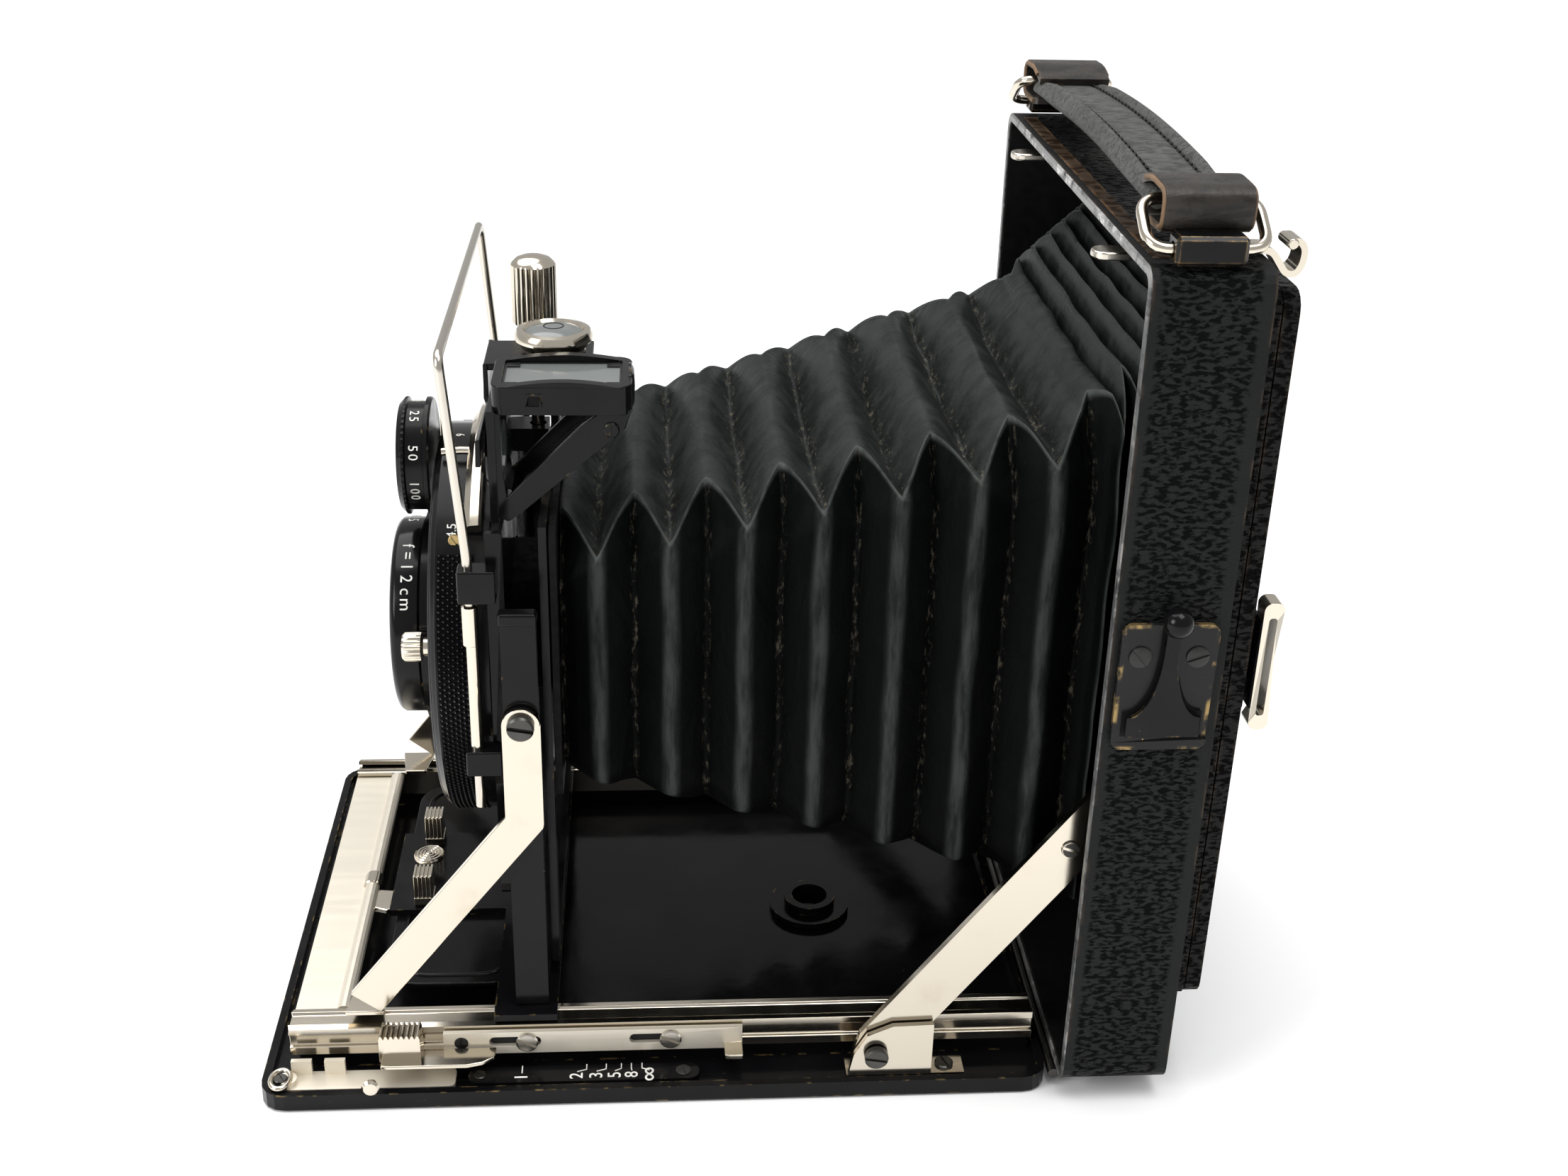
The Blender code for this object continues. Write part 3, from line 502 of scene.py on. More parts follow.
def plate(name, outlines, axis, low, high, material, body, slot, replaces=(), bevel=0.15, **look):
    """A flat outline, with holes as further outlines, from low to high along axis."""
    curve = bpy.data.curves.new(name, "CURVE")
    curve.dimensions = "2D"
    curve.fill_mode = "BOTH"
    curve.extrude = (high - low) / 2 * MM
    for outline in outlines:
        add_line(curve, [(u * MM, v * MM, 0.0) for u, v in outline], True)
    bm = as_bmesh(curve)
    centre = (low + high) / 2 * MM
    for v in bm.verts:
        flat = (v.co.x, v.co.y, v.co.z + centre)
        v.co = Vector([flat[i] for i in PLATE_AXES[axis]]) + Vector((0, FRONT_PLANE * MM, 0))
    bmesh.ops.dissolve_limit(bm, angle_limit=0.01, verts=bm.verts, edges=bm.edges)
    return from_bmesh(name, bm, material, body, slot, replaces, bevel=bevel, **look)


def rod(name, points, radius, material, body, slot, replaces=(), cyclic=False, resolution=5):
    """A round bar or wire through the points."""
    curve = bpy.data.curves.new(name, "CURVE")
    curve.dimensions = "3D"
    curve.bevel_depth = radius * MM
    curve.bevel_resolution = resolution
    curve.use_fill_caps = True
    add_line(curve, [world(*point) for point in points], cyclic)
    return from_bmesh(name, as_bmesh(curve), material, body, slot, replaces, sharp=60.0)


def bent(points, radius, steps=6):
    """The points with each inner corner turned into an arc of that radius."""
    path = [Vector(points[0])]
    for before, corner, after in zip(points, points[1:], points[2:]):
        a, b, c = Vector(before), Vector(corner), Vector(after)
        start = b + (a - b).normalized() * min(radius, (a - b).length * 0.45)
        end = b + (c - b).normalized() * min(radius, (c - b).length * 0.45)
        for i in range(steps + 1):
            t = i / steps
            path.append(start.lerp(b, t).lerp(b.lerp(end, t), t))
    path.append(Vector(points[-1]))
    return [tuple(p) for p in path]


def ribbon(path, half):
    """The outline of a bent strip along (u, v) points. half is half its thickness."""
    left, right = [], []
    for i, (u, v) in enumerate(path):
        before, after = Vector(path[max(i - 1, 0)]), Vector(path[min(i + 1, len(path) - 1)])
        run = (after - before).normalized()
        left.append((u - run.y * half, v + run.x * half))
        right.append((u + run.y * half, v - run.x * half))
    return left + right[::-1]


def rounded(x, y, radius, steps=6):
    """A rectangle from x[0] to x[1] and y[0] to y[1] with round corners."""
    points = []
    for cx, cy, start in ((x[1], y[1], 0), (x[0], y[1], 90), (x[0], y[0], 180), (x[1], y[0], 270)):
        sx, sy = (-1 if cx == x[1] else 1), (-1 if cy == y[1] else 1)
        for i in range(steps + 1):
            a = math.radians(start + 90 * i / steps)
            points.append((cx + radius * (sx + math.cos(a)), cy + radius * (sy + math.sin(a))))
    return points


def circle(cx, cy, radius, sides=32):
    return [(cx + radius * math.cos(math.tau * i / sides), cy + radius * math.sin(math.tau * i / sides))
            for i in range(sides)]


SIDES = (("near", 1), ("far", -1))


def sided(side, low, high):
    """The x range low to high on the near side, or its mirror image on the far side."""
    return (low, high) if side > 0 else (-high, -low)


def outward(side):
    return "x" if side > 0 else "-x"


def outer_face(node, side):
    """x of the node's face that looks away from the centreline."""
    low, high = extent(node)
    return high.x if side > 0 else low.x


def screw(name, centre, axis, radius, height, body, turn=35.0, material=None):
    """A slotted screw head standing on its centre point and facing along axis."""
    bm = bmesh.new()
    place = Matrix.Translation(world(*centre)) @ along(axis) @ Matrix.Rotation(math.radians(turn), 4, "Z")
    rings = []
    for level, share in ((0.0, 1.0), (height * 0.72, 1.0), (height, 0.86)):
        rings.append([bm.verts.new(place @ (Vector((x, y, level)) * MM)) for x,
                      y in circle(0, 0, radius * share, 28)])
    skin(bm, rings)
    cap_ends(bm, rings)
    head = from_bmesh(name, bm, material or STEEL, None, None, sharp=30.0)
    cutter = bmesh.new()
    size = Matrix.Diagonal((radius * 2.4 * MM, radius * 0.34 * MM, height * 1.1 * MM, 1.0))
    lift = Matrix.Translation((0, 0, height * 1.02 * MM))
    bmesh.ops.create_cube(cutter, size=1.0, matrix=place @ lift @ size)
    tool = from_bmesh(name + "_slot", cutter, STEEL, None, None)
    modifier = head.modifiers.new("slot", "BOOLEAN")
    modifier.operation = "DIFFERENCE"
    modifier.solver = "EXACT"
    modifier.object = tool
    graph = bpy.context.evaluated_depsgraph_get()
    head.data = bpy.data.meshes.new_from_object(head.evaluated_get(graph))
    head.modifiers.clear()
    bpy.data.objects.remove(tool, do_unlink=True)
    return finish_piece(head, material or STEEL, body, "steel", sharp=30.0)


def text(name, words, size, origin, right, up, body):
    """Raised paint for generic figures: right and up are the directions of a line of text."""
    curve = bpy.data.curves.new(name, "FONT")
    curve.body = words
    curve.size = size * MM
    curve.extrude = 0.04 * MM
    curve.align_x = "CENTER"
    curve.align_y = "CENTER"
    curve.resolution_u = 4
    right, up = Vector(right).normalized(), Vector(up).normalized()
    turn = Matrix((right, up, right.cross(up))).transposed().to_4x4()
    bm = as_bmesh(curve, Matrix.Translation(world(*origin)) @ turn)
    return from_bmesh(name, bm, PAINT, body, None, sharp=60.0)


def around(name, words, centre, radius, y, start, step, size, body):
    """Single figures round the rim of a drum that faces -Y, each standing along the drum's axis."""
    for i, letter in enumerate(words):
        a = math.radians(start + step * i)
        outward_from_axis = Vector((math.sin(a), 0.0, math.cos(a)))
        tangent = Vector((math.cos(a), 0.0, -math.sin(a)))
        spot = Vector((centre[0], y, centre[1])) + outward_from_axis * radius
        text("%s_%d" % (name, i), letter, size, spot, tangent, (0, 1, 0), body)


def keep(node, material, bevel=0.0, segments=2, sharp=35.0):
    """Shows a CAD node as it is, with a finish and softened edges."""
    obj = frame["nodes"][node]
    obj.data.materials.clear()
    obj.data.materials.append(material)
    soften(obj, sharp, bevel, segments, 50)
    return obj


# The bellows

# y of the first fold whose sides stand out, the distance between folds, and the same where they are packed
FIRST_SIDE_FOLD = -72.65
PITCH = 10.9
PACKED_FROM = 0.3
PACKED_PITCH = 2.5

# The folds' depth at the sides and in the top, and how far each corner is cut off where the top stands out
SIDE_DEPTH = 3.8
BOTTOM_DEPTH = 3.3
TOP_DEPTH = 4.6
CUT_ACROSS, CUT_DOWN, CUT_UNDER = 7.6, 9.5, 5.0

# The bellows' middle half width, and the heights of its top and bottom, each with its slope towards the case
FRONT_HALF, HALF_SLOPE = 33.3, 0.13
FRONT_TOP, TOP_SLOPE = 96.2, 0.27
FRONT_BOTTOM, BOTTOM_SLOPE = 43.3, -0.19


def fold_phase(y):
    """0 where the top and bottom stand out, 1 where the sides stand out, and straight between them."""
    if y < PACKED_FROM:
        turns = (y - FIRST_SIDE_FOLD) / PITCH
    else:
        turns = (PACKED_FROM - FIRST_SIDE_FOLD) / PITCH + (y - PACKED_FROM) / PACKED_PITCH
    turns %= 1.0
    return 1.0 - 2.0 * min(turns, 1.0 - turns)


def bellows_ring(y):
    """Points round the bellows at y as (x, z, upward, worn).

    The sides are straight, and each corner is cut off where the top stands out, so that the edge between
    top and side runs in a zigzag along the bellows.
    """
    side = fold_phase(y)
    top_out = 1.0 - side
    crest = math.sin(math.pi / 2 * top_out) ** 1.1
    soft = 0.22
    inward = (math.hypot(top_out, soft) - soft) / (math.hypot(1.0, soft) - soft)
    half = FRONT_HALF + HALF_SLOPE * (y + 73.0) - SIDE_DEPTH * inward
    flare = max(0.0, (y + 3.0) / 17.0)
    high = FRONT_TOP + TOP_SLOPE * (y + 56.0) + 11.0 * flare ** 0.8 - TOP_DEPTH * (1.0 - crest)
    low = FRONT_BOTTOM + BOTTOM_SLOPE * (y + 60.0) + BOTTOM_DEPTH * side - 12.0 * flare
    across, down = 0.4 + CUT_ACROSS * top_out, 0.4 + CUT_DOWN * top_out
    under = 0.5 + CUT_UNDER * top_out
    points = []

    def run(start, end, steps, upward, bulge=0.0, edge=(False, False)):
        for k in range(steps):
            t = k / steps
            x = start[0] + (end[0] - start[0]) * t
            z = start[1] + (end[1] - start[1]) * t
            z -= bulge * math.sin(math.pi * t) ** 0.7
            length = math.hypot(end[0] - start[0], end[1] - start[1])
            near_edge = min(t * length if edge[0] else 9.0, (1 - t) * length if edge[1] else 9.0)
            points.append((x, z, upward, math.exp(-(near_edge / 0.8) ** 2)))

    right_top, left_top = (half - across, high), (across - half, high)
    sag = 2.2 * side + 0.5 * top_out
    run((half, low + under), (half, high - down), 26, 0.0)
    run((half, high - down), right_top, 8, 0.1, edge=(False, True))
    run(right_top, left_top, 40, 1.0, sag, (True, True))
    run(left_top, (-half, high - down), 8, 0.1, edge=(True, False))
    run((-half, high - down), (-half, low + under), 26, 0.0)
    run((-half, low + under), (under - half, low), 4, 0.0)
    run((under - half, low), (half - under, low), 22, 0.0, -0.6 * top_out)
    run((half - under, low), (half, low + under), 4, 0.0)
    return points


def bellows_section(name, start, end, replaces=()):
    """One length of the bellows, left in world space with no body."""
    bm = bmesh.new()
    fold = bm.verts.layers.float.new("fold")
    upward = bm.verts.layers.float.new("upward")
    worn = bm.verts.layers.float.new("worn")
    count = max(6, round((end - start) / (0.36 if end < PACKED_FROM else 0.24)))
    rings = []
    for i in range(count + 1):
        y = start + (end - start) * i / count
        ring = []
        for x, z, up, edge in bellows_ring(y):
            rough = noise.noise(Vector((x, y * 1.3, z)) * 0.09) * 0.6
            centre = 68.5 + 0.04 * (y + 73.0)
            outward = Vector((x, 0.0, z - centre)).normalized() * rough * min(1.0, (y + 79.0) / 4.0)
            v = bm.verts.new(world(x + outward.x, y + rough * 0.5, z + outward.z))
            v[fold], v[upward], v[worn] = fold_phase(y), up, edge
            ring.append(v)
        rings.append(ring)
    skin(bm, rings)
    obj = from_bmesh(name, bm, BELLOWS, None, "bellows", sharp=80.0)
    if replaces:
        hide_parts(*replaces)
    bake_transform(obj)


def bellows():
    """Four lengths of bellows and the flat frame that closes them against the case."""
    cuts = [-78.3, -72.0, -35.5, -20.0, 14.2]
    for i in range(4):
        bellows_section("bellows_%d" % i, cuts[i], cuts[i + 1],
                        ("bellows",) if i == 0 else ())
    outer = rounded((-48.0, 48.0), (9.5, 131.0), 2.0)
    inner = rounded((-41.0, 41.0), (20.5, 121.5), 2.0)
    plate("bellows_rear_frame", [outer, inner], "y", 14.05, 14.5, MATT_BLACK, "case", "bellows", bevel=0.0)


# The case and back

def case():
    keep("case_shell", LEATHER, bevel=0.6, segments=3)
    keep("back_panel", SATIN_BLACK)
    closing_catch()
    keep("hinge_leaf", SATIN_BLACK)
    case_front_edge()
    case_lining()
    inner_cheek()


def closing_catch():
    """The sliding catch under the case's top: a strip with two rounded hooks."""
    low, high = extent("closing_catch")
    outline = [(low.x, 6.0)]
    for x in (-31.0, 31.0):
        outline += [(x - 2.2, 6.0)]
        outline += [(x - 2.2 * math.cos(math.radians(a)), -1.4 - 2.0 * math.sin(math.radians(a)))
                    for a in range(0, 181, 20)]
        outline += [(x + 2.2, 6.0)]
    outline += [(high.x, 6.0), (high.x, 9.0), (low.x, 9.0)]
    plate("closing_catch_slide", [outline], "z", low.z, high.z, WIRE_NICKEL, "closing_catch", "nickel",
          ("closing_catch",), bevel=0.35, segments=3)


def case_front_edge():
    """The bare metal edge round the front of the shell, chipped where the leather ends."""
    low, high = extent("case_shell")
    rim = Shader("chipped_front_edge", (0.1, 0.1, 0.1), 0.4)
    chips = rim.ramp(rim.noise(330.0, 6.0, 0.7), 0.36, 0.52)
    bright = rim.ramp(rim.noise(150.0, 5.0, 0.7), 0.52, 0.62)
    above = rim.ramp(rim.coordinate("Z"), (high.z - 3.5) * MM, (high.z - 0.5) * MM, 0.35, 1.0)
    share = rim.times(chips, above)
    rim.colour(rim.mix(share, (0.028, 0.029, 0.029),
                       rim.mix(bright, (0.22, 0.22, 0.215), (0.75, 0.74, 0.72))))
    rim.metallic(rim.times(share, bright))
    rim.bump((chips, 0.08))
    outer = rounded((low.x + 0.12, high.x - 0.12), (low.z + 0.12, high.z - 0.12), 2.9)
    inner = rounded((low.x + 1.5, high.x - 1.5), (low.z + 1.5, high.z - 1.5), 1.7)
    plate("case_front_edge", [outer, inner], "y", -0.25, 0.35, rim.material, "case", "enamel", bevel=0.12)


def case_lining():
    """Black card inside the case walls, and the worn leather strip on top under the handle."""
    low, high = extent("case_shell")
    outer = rounded((low.x + 1.62, high.x - 1.62), (low.z + 1.62, high.z - 1.62), 1.6)
    inner = rounded((low.x + 1.85, high.x - 1.85), (low.z + 1.85, high.z - 1.85), 1.4)
    plate("case_lining", [outer, inner], "y", 0.2, 14.4, SATIN_BLACK, "case", "enamel", bevel=0.0)
    worn = leather_material("worn_top_leather", (0.05, 0.032, 0.02), (0.3, 0.18, 0.1), 700.0, 0.12)
    block("top_wear_strip", (-45.5, 46.5), (1.1, 3.4), (high.z - 0.3, high.z + 0.06), worn, "case", "leather",
          bevel=0.05)


def inner_cheek():
    """A small hinge cheek on the far inner wall."""
    outline = [(4.0, 104.5), (6.5, 113.5), (12.5, 113.5), (12.5, 100.5), (5.0, 100.5)]
    low = extent("case_shell")[0]
    plate("inner_cheek", [outline], "x", low.x + 2.0, low.x + 2.7, ENAMEL, "case", "enamel")
    screw("inner_cheek_rivet", (low.x + 2.7, 8.2, 110.3), "x", 1.1, 0.3, "case", material=SATIN_BLACK)


def back():
    keep("back_frame", BACK_LEATHER, bevel=0.5, segments=3)
    keep("ground_glass", SCREEN)
    keep("hood_lid", BACK_LEATHER, bevel=0.6, segments=3)
    low, high = extent("hood_catch")
    outer = rounded((low.y, high.y), (low.z, high.z), 1.2)
    inner = rounded((low.y + 0.9, high.y - 0.9), (low.z + 2.4, high.z - 2.4), 0.5)
    plate("hood_catch_loop", [outer, inner], "x", low.x, high.x, NICKEL, "hood_catch", "nickel",
          ("hood_catch",),
          bevel=0.3)
    block("hood_catch_leaf", (low.x - 6.5, high.x - 0.6), (low.y - 0.1, low.y + 0.5),
          (low.z + 3.2, high.z - 3.2),
          ENAMEL, "hood_lid", "enamel", bevel=0.15)
    back_hook()


def back_hook():
    """The sprung hook over the top of the back, with rolled ends."""
    low, high = extent("back_catch")
    centre = [(low.y + 0.4, 136.9), (17.2, 136.9), (18.4, 135.2), (19.4, 133.8), (20.7, 133.7), (21.5, 134.9),
              (21.7, 137.0), (20.9, 138.2), (19.7, 138.0)]
    plate("back_catch_hook", [ribbon(bent(centre, 1.0, 5), 0.45)], "x", low.x, high.x, NICKEL, "back_catch",
          "nickel",
          ("back_catch",), bevel=0.12)
    lathe("back_catch_roll", (low.x - 0.2, 19.9, 137.8), "x",
          [(0.0, 0.0), (0.75, 0.0), (0.75, 4.6), (0.0, 4.6)],
          NICKEL, "back_catch", "nickel", steps=20, bevel=0.2)


def latch_enamel(low, high):
    """Enamel rubbed down to the brass along the plate's border."""
    s = Shader("worn_latch_enamel", (0.009, 0.009, 0.0092), 0.26, Specular_IOR_Level=0.2)
    borders = []
    for axis, a, b in (("Y", low.y + FRONT_PLANE, high.y + FRONT_PLANE), ("Z", low.z, high.z)):
        centre, half = (a + b) / 2 * MM, (b - a) / 2 * MM
        distance = s.node("ShaderNodeMath", operation="ABSOLUTE")
        s.link(s.math("SUBTRACT", s.coordinate(axis), centre), distance.inputs[0])
        borders.append(s.ramp(distance.outputs["Value"], half - 0.75 * MM, half - 0.35 * MM))
    border = s.math("MAXIMUM", *borders)
    patch = s.times(border, s.ramp(s.noise(150.0, 5.0, 0.6), 0.5, 0.62))
    share = s.math("MAXIMUM", patch, s.ramp(s.noise(900.0, 3.0), 0.76, 0.8))
    s.colour(s.mix(share, (0.009, 0.009, 0.0092), (0.3, 0.21, 0.09)))
    s.metallic(s.times(share, 0.7))
    s.roughness(s.ramp(s.noise(200.0, 4.0), 0.3, 0.7, 0.2, 0.36))
    s.bump((s.noise(300.0, 3.0), 0.02), (patch, 0.03))
    return s.material


def latch_outline(spread):
    """The tongue's outline: a bar with a neck that flares into it, grown by spread."""
    centre, steps = 8.0, 12
    neck, bar = 1.0 + spread, 5.4 + spread
    flare_top, flare_foot = 83.0, 71.4 + spread
    left = [(centre - neck, 85.8)]
    for i in range(steps + 1):
        a = math.pi / 2 * i / steps
        widening = (bar - neck) * (1 - math.cos(a)) ** 1.1
        left.append((centre - neck - widening, flare_top - (flare_top - flare_foot) * math.sin(a)))
    left.append((centre - bar, 68.2 - spread))
    right = [(2 * centre - y, z) for y, z in reversed(left)]
    return left + right


def bed_latch():
    low, high = extent("latch_plate")
    worn = latch_enamel(low, high)
    outline = rounded((low.y, high.y), (low.z, high.z), 1.6)
    plate("latch_plate_worn", [outline], "x", low.x, low.x + 0.8, worn, "case", "enamel", ("latch_plate",),
          bevel=0.25)
    # A black sheet a little wider than the tongue, under its edge: painted shadow round the tongue.
    plate("latch_tongue_painted_shadow", [latch_outline(0.4)], "x", low.x + 0.7, low.x + 0.83, MATT_BLACK, "case", "enamel",
          bevel=0.0)
    for i, y in enumerate((low.y + 2.9, high.y - 2.9)):
        screw("latch_plate_screw_%d" % i, (low.x + 0.75, y, 80.6), "x", 1.65, 0.45, "case", 40 + 70 * i,
              plain_material("latch_screw_%d" % i, (0.03, 0.03, 0.029), 0.38, 0.6))
    plate("latch_tongue_body", [latch_outline(0.0)], "x", low.x + 1.35, low.x + 2.1, ENAMEL, "bed_latch",
          "enamel",
          ("latch_tongue",), bevel=0.35)
    ball_look = enamel_material("worn_ball", wear=1.7, brass=(0.42, 0.26, 0.08), roughness=0.14)
    profile = [(2.2 * math.sin(math.radians(a)), 2.2 * math.cos(math.radians(a))) for a in range(0, 181, 12)]
    profile[0], profile[-1] = (0.0, 2.2), (0.0, -2.2)
    lathe("latch_ball", (low.x + 3.1, 8.0, 87.0), "z", profile, ball_look, "bed_latch", "enamel", steps=32)


# The handle

def handle():
    strap_arch()
    for label, side in SIDES:
        handle_loop(label, side)
        handle_ring(label, side)
        handle_clip(label)


STRAP_HALF = 40.0


def strap_centre(x):
    """Height of the strap's middle layer, which follows the CAD strap's arch."""
    rise = 1.6 * math.cos(min(1.0, abs(x) / STRAP_HALF) * math.pi / 2)
    return extent("handle_strap")[0].z + 2.6 + rise


def strap_section(share, y0, half):
    """One section of the strap as (y, height) points. share is its distance from the middle, up to 1."""
    narrow = 1.0 - 0.1 * max(0.0, share - 0.6)
    rolled = 1.0 - 0.6 * min(1.0, max(0.0, (share * STRAP_HALF - 27.0) / 9.0))
    points = []
    for x, up in circle(0.0, 0.0, 1.0, 64):
        width = half * narrow * math.copysign(abs(x) ** 0.6, x)
        place = abs(width) / (half * narrow)
        bead = rolled * (1.45 if x < 0 else 1.0) * math.exp(-((place - 0.8) / 0.15) ** 2)
        groove = 0.35 * math.exp(-((place - 0.56) / 0.06) ** 2)
        round_edge = math.sqrt(max(0.0, 1.0 - place ** 8))
        thick = (1.1 * round_edge + bead * round_edge - groove) if up > 0 else (0.8 + 0.5 * bead) * round_edge
        points.append((y0 + width, math.copysign(thick, up)))
    return points


def strap_arch():
    """A padded strap: flat underneath, crowned on top, with a rolled bead on both long edges."""
    bm = bmesh.new()
    low, high = extent("handle_strap")
    y0, half = (low.y + high.y) / 2, (high.y - low.y) / 2
    rings = []
    for i in range(81):
        x = i - STRAP_HALF
        section = strap_section(abs(x) / STRAP_HALF, y0, half)
        rings.append([bm.verts.new(world(x, y, strap_centre(x) + height)) for y, height in section])
    skin(bm, rings)
    cap_ends(bm, rings)
    from_bmesh("handle_strap_arch", bm, STRAP, "handle", "strap_leather", ("handle_strap",), sharp=75.0)
    for name, y in (("front", y0 - 3.4), ("rear", y0 + 3.4)):
        stitches(name, y)


def stitches(row, y):
    """A row of short threads along the strap, each one arched a little."""
    length, pitch = 1.3, 2.2
    for i in range(34):
        x = -36.5 + pitch * i
        z = strap_centre(x + length / 2) + 1.12
        lift = (strap_centre(x + length) - strap_centre(x)) / length
        points = [(x + t, y, z + lift * (t - length / 2) + 0.1 * math.sin(math.pi * t / length))
                  for t in (0.0, 0.4, 0.9, length)]
        rod("stitch_%s_%d" % (row, i), points, 0.2, THREAD, "handle", "strap_leather", resolution=1)


def handle_loop(label, side):
    """The smooth leather loop that holds the strap's end to its ring."""
    low, high = extent("handle_strap")
    y0 = (low.y + high.y) / 2
    centre = [(35.5, 143.9), (38.4, 144.9), (41.0, 145.4), (46.9, 145.2), (48.0, 144.2), (47.8, 140.9),
              (46.6, 140.0),
              (40.0, 139.9), (36.0, 140.6)]
    path = bent(centre, 1.2, 5)
    ring = [(side * x, z) for x, z in ribbon(path, 0.55)]
    half = 5.9
    plate("handle_loop_" + label, [ring], "y", y0 - half, y0 + half, LOOP, "handle", "strap_leather",
          bevel=0.22)
    for end in (-1, 1):
        edge = [(side * x, y0 + end * (half + 0.03), z) for x, z in path[2:-2]]
        rod("loop_edge_%s_%d" % (label, end), edge, 0.38, RAW_EDGE, "handle", "strap_leather", resolution=2)


def handle_ring(label, side):
    """The oval wire ring, with its wire's middle one radius inside the CAD ring's box."""
    low, high = extent("handle_ring_" + label)
    wire = 0.8
    outer_x = side * 49.8
    inner_x = low.x + wire if side > 0 else high.x - wire
    y_low, y_high = low.y + wire, high.y - wire
    base, top = low.z + wire, high.z - wire
    centre_y = (y_low + y_high) / 2
    corners = [(outer_x, centre_y, base), (outer_x, y_high, base), (inner_x, y_high, top),
               (inner_x, y_low, top),
               (outer_x, y_low, base), (outer_x, centre_y, base)]
    rod("ring_wire_" + label, bent(corners, 3.0, 8), wire, NICKEL, "handle_ring_" + label, "nickel",
        ("handle_ring_" + label,))


def handle_clip(label):
    worn = enamel_material("worn_clip_" + label, wear=1.2, brass=(0.42, 0.27, 0.1), roughness=0.15)
    keep("handle_clip_" + label, worn, bevel=0.4, segments=3)


# The bed

def bed():
    keep("bed_plate", ENAMEL, bevel=0.35)
    keep("tripod_bush", ENAMEL, bevel=0.15)
    keep("hinge_pin", STEEL)
    keep("distance_scale", FRESH_ENAMEL, bevel=0.15)
    for label, side in SIDES:
        keep("strut_bracket_" + label, NICKEL, bevel=0.25)
        keep("strut_" + label, NICKEL, bevel=0.2)
        node = "strut_screw_" + label
        keep(node, STEEL)
        pivot = middle(node)
        pivot.x = outer_face(node, side) - 0.5 * side
        screw("strut_pivot_" + label, pivot, outward(side), 1.9, 0.8, "bed", 80 * side)
        screw("strut_foot_screw_" + label, (side * 45.3, -18.0, 2.65), "z", 1.5, 0.5, "bed", 20)
        strut_end(label, side)
    scale_figures()
    bed_edge_parts()


def strut_end(label, side):
    """The screw near the strut's upper end, in line with its pivot."""
    pivot_y, pivot_z = -29.5, 7.0
    angle, length = math.radians(53.0), 46.8
    spot = (pivot_y + math.cos(angle) * length, pivot_z + math.sin(angle) * length)
    face = outer_face("strut_" + label, side) - 0.9 * side
    screw("strut_upper_screw_" + label, (face, *spot), outward(side), 1.45, 0.95, "strut_" + label, 70)


def carriage_panel():
    """The carriage's round-cornered floor under the release grips, with a bead near its border."""
    floor = rounded((-31.0, 31.0), (-108.8, -86.0), 6.0, 8)
    plate("carriage_floor", [floor], "z", 9.0, 9.85, ENAMEL, "standard", "enamel", bevel=0.3)
    route = [(x, y, 9.8) for x, y in rounded((-28.8, 28.8), (-106.6, -88.2), 5.0, 8)]
    rod("carriage_bead", route, 0.45, ENAMEL, "standard", "enamel", cyclic=True, resolution=3)


def scale_figures():
    """The engraved distance scale: a mark, a slanted leader and a figure for each distance in metres."""
    top = extent("distance_scale")[1].z + 0.02
    marks = (("1", -85.6, -85.6), ("2", -75.4, -76.9), ("3", -72.3, -73.8), ("5", -69.9, -70.9),
             ("8", -68.3, -68.2), ("∞", -66.6, -65.4))
    for i, (figure, at, figure_at) in enumerate(marks):
        rod("scale_tick_%d" % i, [(43.8, at, top), (45.0, at, top), (45.5, figure_at, top)], 0.1, PAINT,
            "bed", None,
            resolution=1)
        size = 3.6 if figure == "∞" else 3.0
        text("scale_figure_%d" % i, figure, size, (46.45, figure_at, top), (-1, 0, 0), (0, -1, 0), "bed")
    screw("scale_screw_front", (45.7, -92.2, top - 0.08), "z", 1.0, 0.3, "bed", 60)
    screw("scale_screw_rear", (45.7, -60.0, top - 0.08), "z", 1.2, 0.3, "bed", 15,
          plain_material("dark_scale_screw", (0.04, 0.04, 0.038), 0.4, 0.5))


def bed_edge_parts():
    """The nickel stop bracket, its wire eye and ball pin, and the slots and screw along the rim."""
    keep("stop_bracket", LIGHTENED_SATIN_NICKEL, bevel=0.2)
    eye = [(46.0 + 2.2 * x, -123.2 + 1.5 * y, 3.4) for x, y in circle(0.0, 0.0, 1.0, 24)]
    rod("stop_eye", eye, 0.45, NICKEL, "bed", "nickel", cyclic=True)
    screw("stop_eye_screw", (46.0, -123.2, 3.3), "z", 1.1, 0.5, "bed", 30)
    profile = [(0.0, 4.4), (1.1, 3.9), (1.45, 2.9), (1.1, 1.9), (0.8, 1.7), (0.8, 0.0), (0.0, 0.0)]
    lathe("stop_ball", (48.0, -108.8, 3.9), "x", [(r, h * 0.4) for r, h in profile], NICKEL, "bed", "nickel",
          steps=24)
    for label, side in SIDES[::-1]:
        outline = rounded((side * 29.0 - 3.2, side * 29.0 + 3.2), (-124.6, -122.4), 0.5)
        plate("margin_slot_" + label, [outline], "z", 1.3, 1.5, SATIN_BLACK, "bed", "enamel", bevel=0.0)
    screw("margin_screw", (0.0, -123.4, 1.6), "z", 1.3, 0.35, "bed", 10, SATIN_BLACK)


